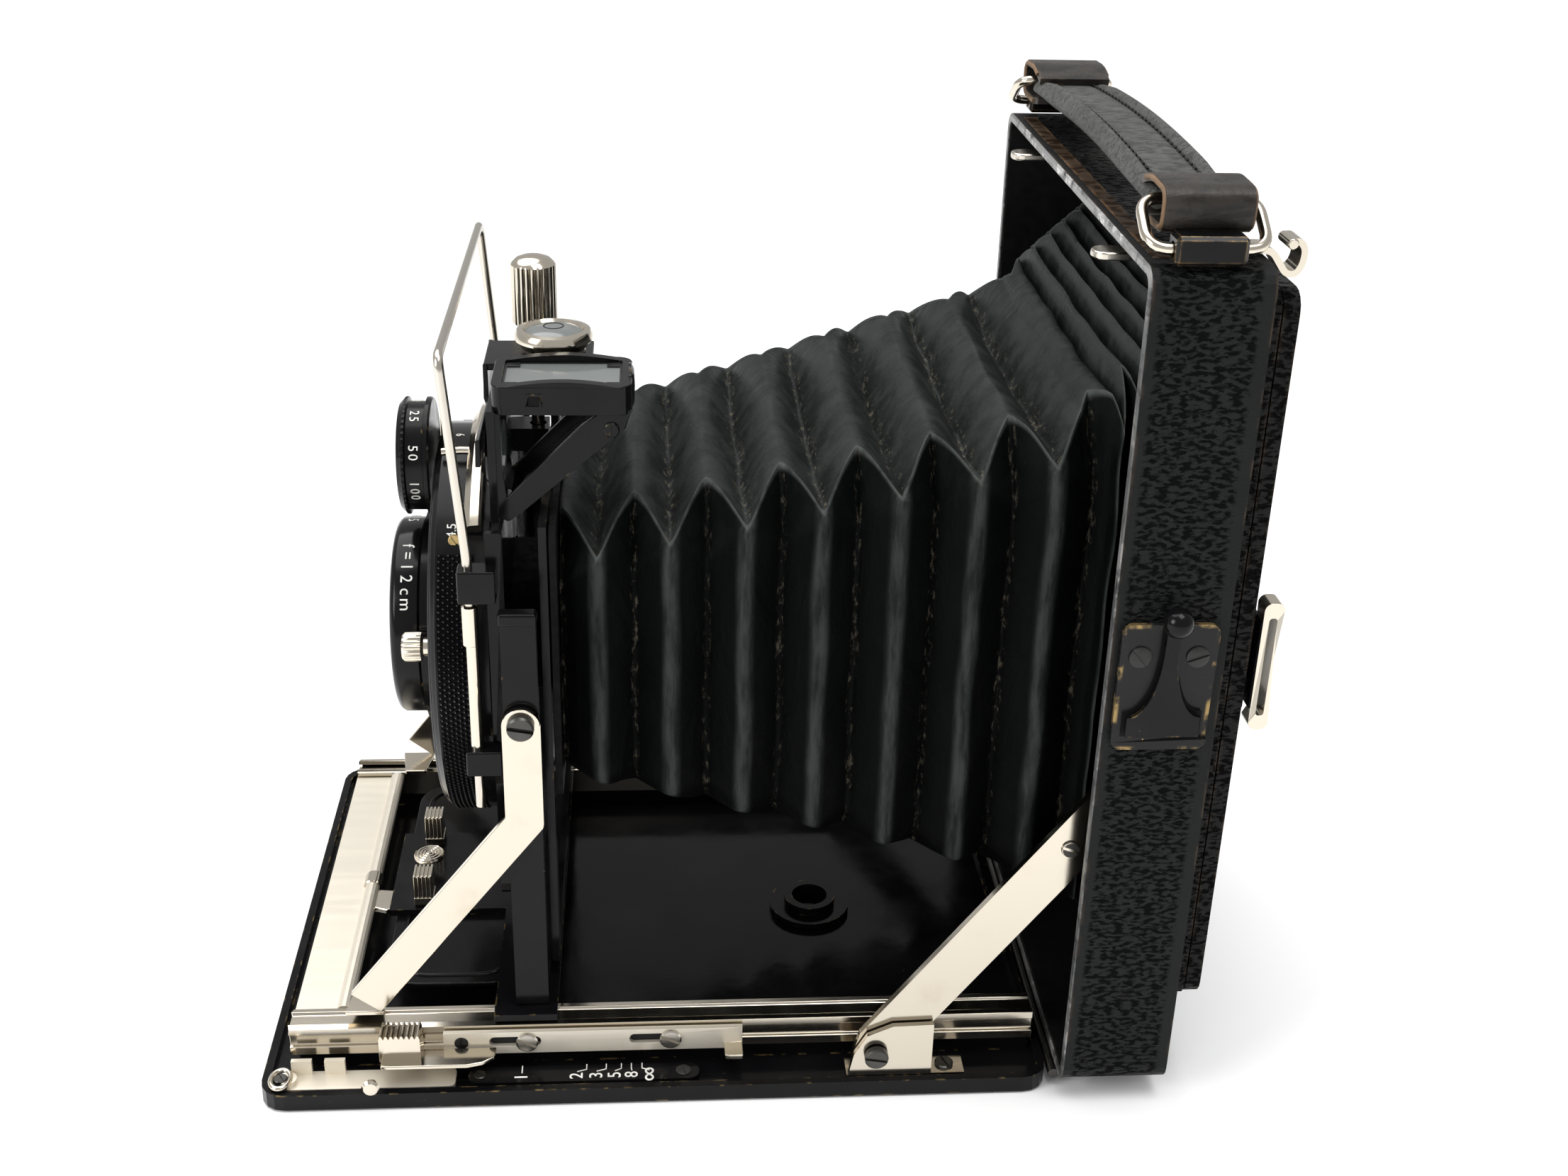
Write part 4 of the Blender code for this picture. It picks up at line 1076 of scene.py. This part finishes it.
def rails():
    for label, side in SIDES:
        rail(label, side)
    keep("cross_plate", LIGHTENED_SATIN_NICKEL, bevel=0.2)
    sleeve = [(1.35, 0.0), (1.55, 0.2), (1.55, 3.2), (1.35, 3.4)]
    lathe("cross_rod_joint", (-2.0, -114.4, 8.5), "x", [(0.0, 0.0), *sleeve, (0.0, 3.4)], NICKEL, "rails",
          "nickel",
          steps=24)
    lug = [(2.0, -113.5), (7.5, -113.5), (8.4, -111.0), (6.8, -108.4), (4.6, -108.2), (3.8, -109.6),
           (2.4, -110.4)]
    plate("cross_lug", [lug], "z", 7.6, 8.6, NICKEL, "rails", "nickel", bevel=0.25)
    focus_grip()
    index_plate()


def rail(label, side):
    """A drawn channel: two lips over a groove along its outer face."""
    low, high = extent("rail_" + label)
    width = high.x - low.x
    inner = low.x if side > 0 else high.x
    groove, lip, step, dish = 0.55, 1.1, 1.4, 0.35
    top = high.z
    profile = [(0.0, low.z), (width, low.z), (width, low.z + 1.5), (width - groove, low.z + 1.7),
               (width - groove, top - 1.5), (width, top - 1.3), (width, top), (width - lip, top),
               (width - step, top - dish), (step, top - dish), (lip, top), (0.0, top)]
    outline = [(inner + side * x, z) for x, z in profile]
    plate("rail_profile_" + label, [outline], "y", low.y, high.y, NICKEL, "rails", "nickel",
          ("rail_" + label,),
          bevel=0.12)


def focus_grip():
    """The ribbed finger grip on the near rail and its long flange."""
    top = extent("focus_grip")[1].z
    teeth, depth = 8, 0.6
    y0, y1 = -107.7, -101.2
    step = (y1 - y0) / teeth
    ridge = []
    for i in range(teeth):
        for share, out in ((0.0, 0.0), (0.3, depth), (0.62, depth), (0.9, 0.0)):
            ridge.append((y0 + step * (i + share), top - depth + out))
    outline = [(y1, 6.0), (y0, 6.0)] + ridge
    plate("focus_grip_ribs", [outline], "x", 41.9, 45.6, NICKEL, "rails", "nickel", ("focus_grip",),
          bevel=0.08)
    flange = [(43.2, -107.4), (47.2, -107.4), (47.4, -106.0), (47.4, -94.0), (46.8, -91.6), (45.4, -89.8),
              (43.2, -89.6)]
    plate("focus_grip_flange", [flange], "z", 5.8, 6.5, NICKEL, "rails", "nickel", bevel=0.2)


def index_plate():
    """The slotted plate along the near rail, whose hook reads against the distance scale."""
    front, rear = extent("index_plate")[0].y, -50.5
    outline = [(front, 8.9), (front, 5.6), (-95.5, 4.8), (rear, 4.8), (rear, 8.9)]
    starts, length = (-90.8, -68.6), 8.2
    slots = [rounded((start, start + length), (6.2, 8.0), 0.88, 6) for start in starts]
    plate("index_plate_slotted", [outline, *slots], "x", 41.9, 42.7, LIGHTENED_SATIN_NICKEL, "rails", "nickel",
          ("index_plate",), bevel=0.12)
    hook = [(42.5, -53.4), (45.6, -53.4), (45.8, -52.6), (45.8, rear), (42.5, rear)]
    plate("index_hook", [hook], "z", 4.9, 5.8, NICKEL, "rails", "nickel", bevel=0.15)
    for i, (start, reach) in enumerate(zip(starts, (6.0, 6.6))):
        # A black sheet behind each slot: painted shade inside the slot.
        block("index_slot_painted_shade_%d" % i, (41.65, 41.85), (start + 0.2, start + 8.0), (6.0, 8.1), SATIN_BLACK,
              "rails", "enamel", bevel=0.0)
        spot = (42.6, start + reach, 7.0)
        screw("index_screw_%d" % i, spot, "x", 1.75, 0.6, "rails", 65, WIRE_NICKEL)
    screw("index_end_screw", (42.6, -95.2, 7.0), "x", 1.1, 0.25, "rails", 0, SATIN_BLACK)


# The standard

def standard():
    keep("carriage", ENAMEL, bevel=0.25)
    keep("u_frame", FRESH_ENAMEL, bevel=0.5, segments=3)
    keep("rear_frame", FRESH_ENAMEL, bevel=0.25)
    for label, side in SIDES:
        brace(label, side)
        screw("brace_upper_screw_" + label, (side * 40.3, -84.0, 63.2), outward(side), 2.05, 1.15,
              "standard", 80)
        leg_end(label, side)
        pinch_grip(label)
    carriage_panel()
    lock_button()
    knob()


def brace(label, side):
    """The cranked strap that props the frame: round at the screw and folded inwards at its foot."""
    half = 2.85
    pivot, knee, foot = (-84.0, 63.2), (-84.0, 46.5), (-110.0, 13.4)
    run = Vector((foot[0] - knee[0], foot[1] - knee[1])).normalized()
    across = Vector((-run.y, run.x))
    crank = math.atan2(run.x, -run.y) / 2
    miter = half * math.tan(-crank)
    outline = [(pivot[0] + half * math.cos(math.radians(a)), pivot[1] + half * math.sin(math.radians(a)))
               for a in range(0, 181, 12)]
    outline += [(knee[0] - half, knee[1] + miter)]
    outline += [(foot[0] - across.x * half, foot[1] - across.y * half)]
    outline += [(foot[0] + across.x * half, foot[1] + across.y * half)]
    outline += [(knee[0] + half, knee[1] - miter)]
    low, high = sided(side, 39.3, 40.35)
    plate("brace_strap_" + label, [outline], "x", low, high, NICKEL, "standard", "nickel",
          ("brace_" + label,),
          bevel=0.18)
    foot_end = [(side * 40.3, -113.4), (side * 40.3, -107.2), (side * 33.2, -108.6), (side * 33.2, -112.4)]
    plate("brace_foot_" + label, [foot_end], "z", 10.95, 11.75, NICKEL, "standard", "nickel", bevel=0.18)


def leg_end(label, side):
    """The folded end on top of each leg of the frame."""
    x = sided(side, 36.4, 38.95)
    block("leg_cap_" + label, x, (-86.9, -81.2), (78.9, 80.9), FRESH_ENAMEL, "standard", "enamel", bevel=0.5)


def pinch_grip(label):
    """A sliding plate with an upright finger tab, ribbed across its faces."""
    low, high = extent("pinch_grip_" + label)
    body = "pinch_grip_" + label
    x = (low.x, high.x)
    block("pinch_slide_" + label, x, (low.y, high.y), (low.z, low.z + 1.5), NICKEL, body, "nickel", (body,),
          bevel=0.15)
    ribs = 5
    pitch = (high.y - low.y) / ribs
    base = low.z + 1.4
    block("pinch_core_" + label, (low.x + 0.2, high.x - 0.2), (low.y + 0.2, high.y - 0.2),
          (base, high.z - 0.35),
          NICKEL, body, "nickel", bevel=0.1)
    for i in range(ribs):
        y = low.y + pitch * i
        block("pinch_rib_%s_%d" % (label, i), x, (y + 0.08, y + pitch - 0.14), (base, high.z), NICKEL, body,
              "nickel", bevel=0.16)


def lock_button():
    """The button between the grips, turned with rings round its centre."""
    low, high = extent("lock_button")
    top = high.z
    profile = [(0.0, top + 0.1)]
    for i in range(4):
        r = 0.45 + 0.6 * i
        profile += [(r, top + 0.1 - 0.07 * i), (r + 0.15, top - 0.12 - 0.07 * i),
                    (r + 0.3, top + 0.04 - 0.07 * i)]
    profile += [(2.7, top - 0.4), (2.7, top - 0.9), (1.0, top - 0.9), (1.0, low.z), (0.0, low.z)]
    centre = middle("lock_button")
    lathe("lock_button_disc", (centre.x, centre.y, 0.0), "z", profile, NICKEL, "lock_button", "nickel",
          ("lock_button",), steps=40)


def knob():
    """The fluted knob of the rise screw."""
    low, high = extent("rise_knob")
    centre = middle("rise_knob")
    top = high.z
    profile = [(0.0, top), (1.5, top - 0.12), (2.7, top - 0.5), (3.35, top - 1.1), (3.65, top - 1.5),
               (3.68, top - 1.6), (3.68, top - 11.2), (3.3,
                                                       top - 11.5), (2.0, 107.2), (2.0, 105.0), (1.1, 104.9),
               (1.1, low.z), (0.0, low.z)]
    lathe("rise_knob_fluted", (centre.x, centre.y, 0.0), "z", profile, NICKEL, "rise_knob", "nickel",
          ("rise_knob",),
          steps=24 * 8, flutes=(24, 0.42, top - 11.3, top - 1.55), sharp=50.0)


# The lens and shutter

LENS = middle("shutter_body")
DRUM_FRONT = extent("shutter_body")[0].y
DRUM_BACK = extent("shutter_body")[1].y
DRUM_RADIUS = (extent("shutter_body")[1].x - extent("shutter_body")[0].x) / 2


def on_drum(angle, radius, y):
    """A point at an angle clockwise from the top, seen from the front."""
    a = math.radians(angle)
    return (LENS.x + radius * math.sin(a), y, LENS.z + radius * math.cos(a))


def shutter():
    keep("lens_board", FRESH_ENAMEL, bevel=0.25)
    keep("bellows_front_frame", MATT_BLACK)
    keep("rear_barrel", MATT_BLACK)
    keep("rear_lens", LENS_GLASS)
    keep("front_lens", LENS_GLASS, sharp=60.0)
    drum()
    aperture_ring()
    bezel()
    speed_dial()
    keep("release_lever", NICKEL, bevel=0.2)
    lever = [(-14.6, 84.0), (-11.4, 84.0), (-11.6, 90.0), (-13.0, 95.6), (-15.6, 96.2), (-15.2, 90.0)]
    plate("cocking_lever_arm", [lever], "y", -99.4, -98.5, NICKEL, "cocking_lever", "nickel",
          ("cocking_lever",),
          bevel=0.25)
    screw("cocking_lever_screw", (-13.0, -99.35, 84.9), "-y", 1.1, 0.3, "cocking_lever", 20)
    mode_knob()
    face_parts()


def drum():
    """The shutter's case, with a knurled band and the screw that holds it."""
    r, front, back = DRUM_RADIUS, -DRUM_FRONT, -DRUM_BACK
    centre = (LENS.x, 0.0, LENS.z)
    profile = [(r - 0.5, front - 0.6), (r, front - 1.0), (r, back), (14.2, back), (14.2, front),
               (r - 1.2, front),
               (r - 0.8, front - 0.2)]
    lathe("shutter_drum", centre, "-y", profile, FRESH_ENAMEL, "lens_panel", "enamel", ("shutter_body",),
          steps=128,
          sharp=40.0)
    knurl_band()
    screw("band_screw", on_drum(44.0, r + 0.25, -94.1), "x", 1.0, 0.3, "lens_panel", 30, BRASS)


def knurl_band():
    """The diamond-knurled band round the drum's lower part."""
    bm = bmesh.new()
    tip = bm.verts.layers.float.new("tip")
    start, end = 48.0, 312.0
    rows, columns = 16, 620
    y0, y1 = DRUM_FRONT + 1.3, DRUM_BACK - 2.2
    grid = []
    for i in range(columns + 1):
        a = start + (end - start) * i / columns
        line = []
        for k in range(rows + 1):
            y = y0 + (y1 - y0) * k / rows
            rim = k in (0, rows) or i in (0, columns)
            raised = 1.0 if k % 2 and i % 4 == k % 4 and not rim else 0.0
            vertex = bm.verts.new(world(*on_drum(a, DRUM_RADIUS + 0.08 + 0.34 * raised, y)))
            vertex[tip] = raised
            line.append(vertex)
        grid.append(line)
    skin(bm, grid, closed=False)
    from_bmesh("drum_knurl", bm, KNURL, "lens_panel", "enamel", sharp=20.0)


def aperture_ring():
    """The nickel ring behind the drum, whose pointer reaches over the aperture scale."""
    start, sweep, steps = -40.0, 82.0, 72
    low_r, high_r = DRUM_RADIUS + 0.6, 35.2
    bm = bmesh.new()
    rows = []
    profile = [(low_r, -90.0), (high_r - 0.2, -90.0), (high_r, -90.4), (high_r - 0.2, -91.7),
               (high_r - 1.2, -92.7),
               (low_r, -92.9)]
    for i in range(steps + 1):
        a = start + sweep * i / steps
        rows.append([bm.verts.new(world(*on_drum(a, r, y))) for r, y in profile])
    skin(bm, rows)
    cap_ends(bm, rows)
    from_bmesh("aperture_arc", bm, NICKEL, "aperture_ring", "nickel", ("aperture_ring",), sharp=30.0)
    route = [on_drum(15.0, radius, y) for radius, y in ((33.4, -91.0), (33.5, -94.0), (33.2, -96.9))]
    rod("aperture_pointer", route, 0.62, NICKEL, "aperture_ring", "nickel")
    for k, (angle, figure) in enumerate(((-22.0, "12.5"), (2.0, "9"), (24.0, "6.3"), (41.0, "4.5"))):
        outward = Vector((math.sin(math.radians(angle)), 0.0, math.cos(math.radians(angle))))
        tangent = Vector((outward.z, 0.0, -outward.x))
        spot = on_drum(angle, DRUM_RADIUS + 0.05, -94.6)
        text("aperture_figure_%d" % k, figure, 2.0, spot, -tangent, (0, -1, 0), "lens_panel")


def bezel():
    """The lens's front ring and the ring that holds its glass, with the focal length and opening."""
    low, high = extent("lens_bezel")
    front, back = -low.y, -high.y
    centre = (LENS.x, 0.0, LENS.z)
    profile = [(16.05, front - 0.7), (16.2, front - 1.0), (16.2, front - 4.4), (15.9, front - 4.7),
               (17.6, front - 5.0),
               (17.6, back), (13.1, back), (13.1, front - 4.5), (13.4, front - 3.2), (13.6, front - 1.2),
               (14.4, front), (15.2, front), (15.7, front - 0.25)]
    lathe("bezel_ring", centre, "-y", profile, FRESH_ENAMEL, "lens_panel", "enamel", ("lens_bezel",),
          steps=96,
          sharp=28.0)
    cells = [(12.9, front - 3.0), (12.9, front - 4.4), (11.9, front - 5.2), (11.9, front - 4.6),
             (12.4, front - 3.4)]
    lathe("lens_retaining_ring", centre, "-y", cells, SATIN_BLACK, "lens_panel", "enamel", steps=96,
          sharp=30.0)
    around("focal_figure", "f=12cm", (LENS.x, LENS.z), 16.22, -103.4, 22.0, 7.4, 2.7, "lens_panel")
    around("range_figure", "1:4.5", (LENS.x, LENS.z), 16.22, -103.4, -36.0, 7.4, 2.5, "lens_panel")


def speed_dial():
    low, high = extent("speed_dial")
    centre = middle("speed_dial")
    front, back = -low.y, -high.y
    profile = [(0.0, front), (8.2, front), (8.6, front - 0.1), (8.95, front - 0.5), (9.4, front - 0.9),
               (9.4, front - 1.3), (8.7, front - 1.5), (8.7,
                                                        back + 1.1), (9.4, back + 0.9), (9.4, back + 0.3),
               (9.1, back), (0.0, back)]
    lathe("speed_dial_drum", (centre.x, 0.0, centre.z), "-y", profile, FRESH_ENAMEL, "speed_dial", "enamel",
          ("speed_dial",), steps=180, flutes=(60, 0.22, front - 1.35, front - 0.85), sharp=30.0)
    cap = [(0.0, front + 0.5), (1.6, front + 0.4), (1.9, front + 0.1), (1.9, front - 0.1), (0.0, front - 0.1)]
    lathe("speed_dial_nut", (centre.x, 0.0, centre.z), "-y", cap, NICKEL, "speed_dial", "nickel", steps=32)
    spot = (centre.x, centre.z)
    y = (low.y + high.y) / 2
    for k, (words, start) in enumerate((("50", 62.0), ("100", 100.0), ("25", 20.0), ("10", -20.0),
                                        ("5", -52.0),
                                        ("2", -84.0), ("1", -112.0))):
        around("speed_figure_%d" % k, words, spot, 8.75, y + 0.1, start, 9.0, 2.1, "speed_dial")


def mode_knob():
    centre = middle("mode_knob")
    knurl = [(0.0, 103.2), (1.9, 103.1), (2.3, 102.7), (2.3, 100.2), (1.5, 99.8), (1.5, 98.5), (0.0, 98.5)]
    lathe("mode_knob_fluted", (centre.x, 0.0, centre.z), "-y", knurl, NICKEL, "mode_knob", "nickel",
          ("mode_knob",),
          steps=96, flutes=(16, 0.25, 100.1, 102.8), sharp=40.0)


def face_parts():
    """Screws, a speed plate and a cable socket on the front of the shutter."""
    for i, angle in enumerate((70, 118, 205, 262)):
        spot = on_drum(angle, 27.2, DRUM_FRONT + 0.02)
        screw("face_screw_%d" % i, spot, "-y", 1.3, 0.35, "lens_panel", 25 * i, STEEL)
    ring = [(30.6, -DRUM_FRONT + 0.25), (30.9, -DRUM_FRONT), (23.4, -DRUM_FRONT), (23.6, -DRUM_FRONT + 0.3)]
    lathe("shutter_face_ring", (LENS.x, 0.0, LENS.z), "-y", ring, SATIN_BLACK, "lens_panel", "enamel",
          steps=96,
          sharp=30.0)
    socket = [(0.9, 4.6), (1.5, 4.5), (1.5, 0.0), (0.9, 0.0)]
    x, _, z = on_drum(236, 26.0, DRUM_FRONT)
    lathe("cable_socket", (x, 0.0, z), "-y", [(r, -DRUM_FRONT + h) for r, h in socket], NICKEL, "lens_panel",
          "nickel", steps=32)


# The finders

def reflex_finder():
    low, high = extent("reflex_finder")
    x0, x1 = low.x, high.x
    top_low, top_high = 107.6, high.z
    y0, y1 = -87.4, high.y
    finder_hood(x0, x1, y0, y1, top_low, top_high)
    front = [(x0 + 0.4, 90.6), (x1 - 0.4, 90.6), (x1, 91.6), (x1, 108.0), (x0, 108.0), (x0, 91.6)]
    hole = circle(21.2, 99.5, 4.6, 40)
    plate("finder_front_plate", [front, hole], "y", -88.1, -86.9, FRESH_ENAMEL, "reflex_finder", "enamel",
          bevel=0.25)
    lens = [(0.0, 87.6), (2.6, 87.3), (4.5, 86.7), (4.5, 86.2), (0.0, 86.2)]
    lathe("finder_objective", (21.2, 0.0, 99.5), "-y", lens, FINDER_GLASS, "reflex_finder", "glass", steps=48,
          sharp=50.0)
    lathe("finder_objective_ring", (21.2, 0.0, 99.5), "-y",
          [(5.3, 88.6), (5.6, 88.3), (5.6, 88.0), (4.5, 88.0),
          (4.5, 88.4), (4.7, 88.6)], FRESH_ENAMEL, "reflex_finder", "enamel", steps=48)
    for name, x in (("near", x1 - 1.5), ("far", x0 + 0.7)):
        cheek = [(-87.0, 91.2), (-85.6, 90.6), (-84.0, 91.6), (-68.2, 105.2), (-67.3, 107.9), (-71.4, 107.9),
                 (-74.6, 105.6), (-85.6, 94.4), (-86.2, 99.0), (-86.2, 107.9), (-87.4, 107.9)]
        plate("finder_cheek_" + name, [cheek], "x", x, x + 0.8, FRESH_ENAMEL, "reflex_finder", "enamel",
              bevel=0.15)
    mirror = [(-85.4, 92.9), (-84.9, 92.3), (-69.8, 105.9), (-70.3, 106.5)]
    plate("finder_mirror", [mirror], "x", x0 + 1.6, x1 - 1.6, MIRROR, "reflex_finder", "nickel", bevel=0.05)
    screw("finder_hinge_pin", (x1 - 0.75, -70.2, 105.0), "x", 1.15, 0.5, "reflex_finder", 0, ENAMEL)
    lathe("finder_rear_disc", ((x0 + x1) / 2, y1 - 0.5, 109.6), "y",
          [(0.0, 0.9), (2.6, 0.8), (3.3, 0.4), (3.3, 0.0),
          (0.0, 0.0)], ENAMEL, "reflex_finder", "enamel", steps=40)


def finder_hood(x0, x1, y0, y1, low, high):
    """The box on top: arched side walls, rounded corners, a masked viewing glass and a lug hole drawn as a black
    patch of painted shade.
    """
    wall = 1.5
    ring = [rounded((x0, x1), (y0, y1), 2.2), rounded((x0 + wall, x1 - wall), (y0 + wall, y1 - wall), 0.9)]
    plate("finder_hood", ring, "z", low - 0.2, high - 0.7, FRESH_ENAMEL, "reflex_finder", "enamel",
          ("reflex_finder",), bevel=0.5, segments=3)
    arch = [(y0 + 1.2, low + 1.0), (y1 - 1.2, low + 1.0)]
    arch += [(y1 - 1.2 - (y1 - y0 - 2.4) * i / 16, high - 0.9 + 0.9 * math.sin(math.pi * i / 16)) for i in range(17)]
    for name, x in (("near", x1 - wall - 0.1), ("far", x0 + 0.1)):
        plate("finder_arch_" + name, [arch], "x", x, x + wall, FRESH_ENAMEL, "reflex_finder", "enamel",
              bevel=0.45,
              segments=3)
    cx, cy = (x0 + x1) / 2, (y0 + y1) / 2
    arm, reach = (x1 - x0) / 2 - wall, (y1 - y0) / 2 - wall
    plate("finder_viewing_glass", [rectangle_around(cx, cy, arm + 0.1, reach + 0.1)], "z", high - 1.9,
          high - 1.3,
          FINDER_GLASS, "reflex_finder", "glass", bevel=0.2)
    a, b, gap = arm - 2.0, reach - 2.2, 0.3
    cross = [(cx - a, cy - reach + gap), (cx + a, cy - reach + gap), (cx + a, cy - b),
             (cx + arm - gap, cy - b),
             (cx + arm - gap, cy + b), (cx + a, cy + b), (cx + a,
                                                          cy + reach - gap), (cx - a, cy + reach - gap),
             (cx - a, cy + b), (cx - arm + gap, cy + b), (cx - arm + gap, cy - b), (cx - a, cy - b)]
    plate("finder_mask", [rectangle_around(cx, cy, arm + 0.1, reach + 0.1), cross], "z", high - 1.3,
          high - 1.1,
          SATIN_BLACK, "reflex_finder", "enamel", bevel=0.0)
    mouth = [rounded((y0 + 5.0, y0 + 7.4), (low + 0.8, low + 3.1), 0.3),
             rounded((y0 + 5.4, y0 + 7.0), (low + 1.2, low + 2.7), 0.15)]
    plate("finder_lug_rim", mouth, "x", x1 - 0.1, x1 + 0.12, ENAMEL, "reflex_finder", "enamel", bevel=0.08)
    # A black patch inside the lug's rim: painted shade standing for the hole.
    block("finder_lug_hole_painted_shade", (x1 - 0.05, x1 + 0.03), (y0 + 5.3, y0 + 7.1), (low + 1.1, low + 2.8), MATT_BLACK,
          "reflex_finder", "enamel", bevel=0.0)


def rectangle_around(cx, cy, half_x, half_y):
    return [(cx + half_x * u, cy + half_y * v) for u, v in ((-1, -1), (1, -1), (1, 1), (-1, 1))]


def level():
    """The spirit level: a nickel cup with a glass cap over the bubble."""
    bracket = [(0.8, 97.0), (0.8, 110.0), (12.8, 110.0), (12.8, 104.6), (30.6, 104.6), (30.6, 100.4),
               (12.8, 100.4),
               (12.8, 97.0)]
    plate("finder_arm", [bracket], "y", -89.7, -88.9, FRESH_ENAMEL, "lens_panel", "enamel",
          ("finder_bracket",),
          bevel=0.15)
    block("level_shelf", (1.1, 12.5), (-89.6, -73.2), (108.8, 110.0), FRESH_ENAMEL, "lens_panel", "enamel",
          bevel=0.3)
    low, high = extent("spirit_level")
    centre = middle("spirit_level")
    top = high.z
    cup = [(4.3, top - 0.5), (4.7, top), (5.6, top - 0.2), (6.0, top - 0.9), (6.0, top - 1.6),
           (4.9, low.z + 0.4),
           (4.9, low.z), (4.3, low.z)]
    lathe("level_cup", (centre.x, centre.y, 0.0), "z", cup, NICKEL, "lens_panel", "nickel",
          ("spirit_level",), steps=64)
    dome = [(0.0, top + 0.35), (2.0, top + 0.25), (3.6, top - 0.1), (4.35, top - 0.5), (4.35, top - 0.9),
            (0.0, top - 0.9)]
    lathe("level_glass", (centre.x, centre.y, 0.0), "z", dome, FINDER_GLASS, "lens_panel", "glass", steps=48,
          sharp=60.0)
    seat = [(0.0, top - 1.0), (4.3, top - 1.0), (4.3, top - 1.3), (0.0, top - 1.3)]
    fluid = plain_material("level_fluid", (0.2, 0.19, 0.15), 0.3)
    lathe("level_fluid_disc", (centre.x, centre.y, 0.0), "z", seat, fluid, "lens_panel", "glass", steps=48)
    mark = [(x, y, top + 0.28) for x, y in circle(centre.x, centre.y, 1.5, 32)]
    rod("level_circle", mark, 0.09, SATIN_BLACK, "lens_panel", "enamel", cyclic=True, resolution=1)


def wire_clip(label, side):
    """The strip at the board's edge and the two blocks that the wire slides through."""
    strip = rounded((-88.5, -86.1), (50.0, 92.0), 0.4)
    low, high = sided(side, 33.9, 35.0)
    plate("clip_strip_" + label, [strip], "x", low, high, FRESH_ENAMEL, "lens_panel", "enamel",
          ("wire_clip_" + label,),
          bevel=0.15)
    for name, z0, z1 in (("low", 53.2, 57.4), ("high", 82.0, 87.2)):
        block("clip_%s_%s" % (name, label), sided(side, 34.2, 37.9), (-92.5, -87.0), (z0, z1), FRESH_ENAMEL,
              "lens_panel", "enamel", bevel=0.35)


def wire_finder():
    """The wire frame, and the guides that hold its legs on the lens panel."""
    low, high = extent("wire_finder")
    x = high.x - 1.25
    top = high.z - 0.75
    corners = [(-x, -90.8, low.z + 0.1), (-x, -91.0, 88.0), (-x, -93.55, top), (x, -93.55, top),
               (x, -91.0, 88.0),
               (x, -90.8, low.z + 0.1)]
    rod("wire_finder_frame", bent(corners, 2.2, 6), 0.72, WIRE_NICKEL, "wire_finder", "nickel",
        ("wire_finder",))
    for label, side in SIDES:
        sleeve = [(0.8, 0.0), (1.2, 0.15), (1.2, 6.3), (0.8, 6.5)]
        lathe("wire_stop_" + label, (side * x, -91.0, 74.7), "z", [(0.0, 0.0), *sleeve, (0.0, 6.5)], NICKEL,
              "lens_panel", "nickel", steps=28)
        profile = [(0.0, 0.0), (0.95, 0.1), (0.95, 17.5), (0.0, 17.6)]
        lathe("wire_guide_" + label, (side * x, -90.85, 57.2), "z", profile, NICKEL, "lens_panel", "nickel",
              steps=24)
        wire_clip(label, side)


# The stage

SUN_DIRECTION = (0.35, 0.3, -1.0)
LAMP_AIM = (0.0, 0.0, 0.06)
CAMERA_PLACE = (0.2793, -0.0028, 0.1997)
CAMERA_RIGHT = (0.06812903, 0.9973623, 0.02503741)
CAMERA_UP = (-0.43032138, 0.00673511, 0.90265062)


def facing(direction):
    """The rotation that points a lamp's -Z along direction."""
    return Vector(direction).to_track_quat("-Z", "Y").to_euler()


def floor():
    bm = bmesh.new()
    bmesh.ops.create_grid(bm, x_segments=1, y_segments=1, size=3.0)
    mesh = bpy.data.meshes.new("floor")
    bm.to_mesh(mesh)
    bm.free()
    sheet = show(bpy.data.objects.new("floor", mesh))
    sheet.location.z = -0.4 * MM
    mesh.materials.append(Shader("white_paper", (0.93, 0.93, 0.93), 0.6).material)


def lamp(name, kind, energy, place=(0.0, 0.0, 0.0), aim=LAMP_AIM, **settings):
    data = bpy.data.lights.new(name, kind)
    data.energy = energy
    for key, value in settings.items():
        setattr(data, key, value)
    made = show(bpy.data.objects.new(name, data))
    made.location = place
    made.rotation_euler = facing(Vector(aim) - Vector(place))


def lights():
    sky = bpy.data.worlds.new("studio")
    sky.use_nodes = True
    background = sky.node_tree.nodes["Background"]
    background.inputs["Color"].default_value = (1.0, 1.0, 1.0, 1.0)
    background.inputs["Strength"].default_value = 0.5
    bpy.context.scene.world = sky
    lamp("soft_sun", "SUN", 2.1, aim=SUN_DIRECTION, angle=math.radians(55))
    lamp("front_window", "AREA", 7.0, (0.5, -0.9, 0.55), size=0.5)
    lamp("top_light", "AREA", 4.0, (0.25, 0.2, 0.9), size=0.45)


def camera():
    data = bpy.data.cameras.new("camera")
    data.lens = 42.42
    data.sensor_width = 36.0
    data.clip_start = 0.01
    made = show(bpy.data.objects.new("camera", data))
    right, up = Vector(CAMERA_RIGHT), Vector(CAMERA_UP)
    made.matrix_world = Matrix((right, up, right.cross(up))).transposed().to_4x4()
    made.location = CAMERA_PLACE
    bpy.context.scene.camera = made


bellows()
case()
back()
bed_latch()
handle()
bed()
rails()
standard()
shutter()
reflex_finder()
level()
wire_finder()
floor()
lights()
camera()
bpy.context.scene.view_settings.view_transform = "Standard"
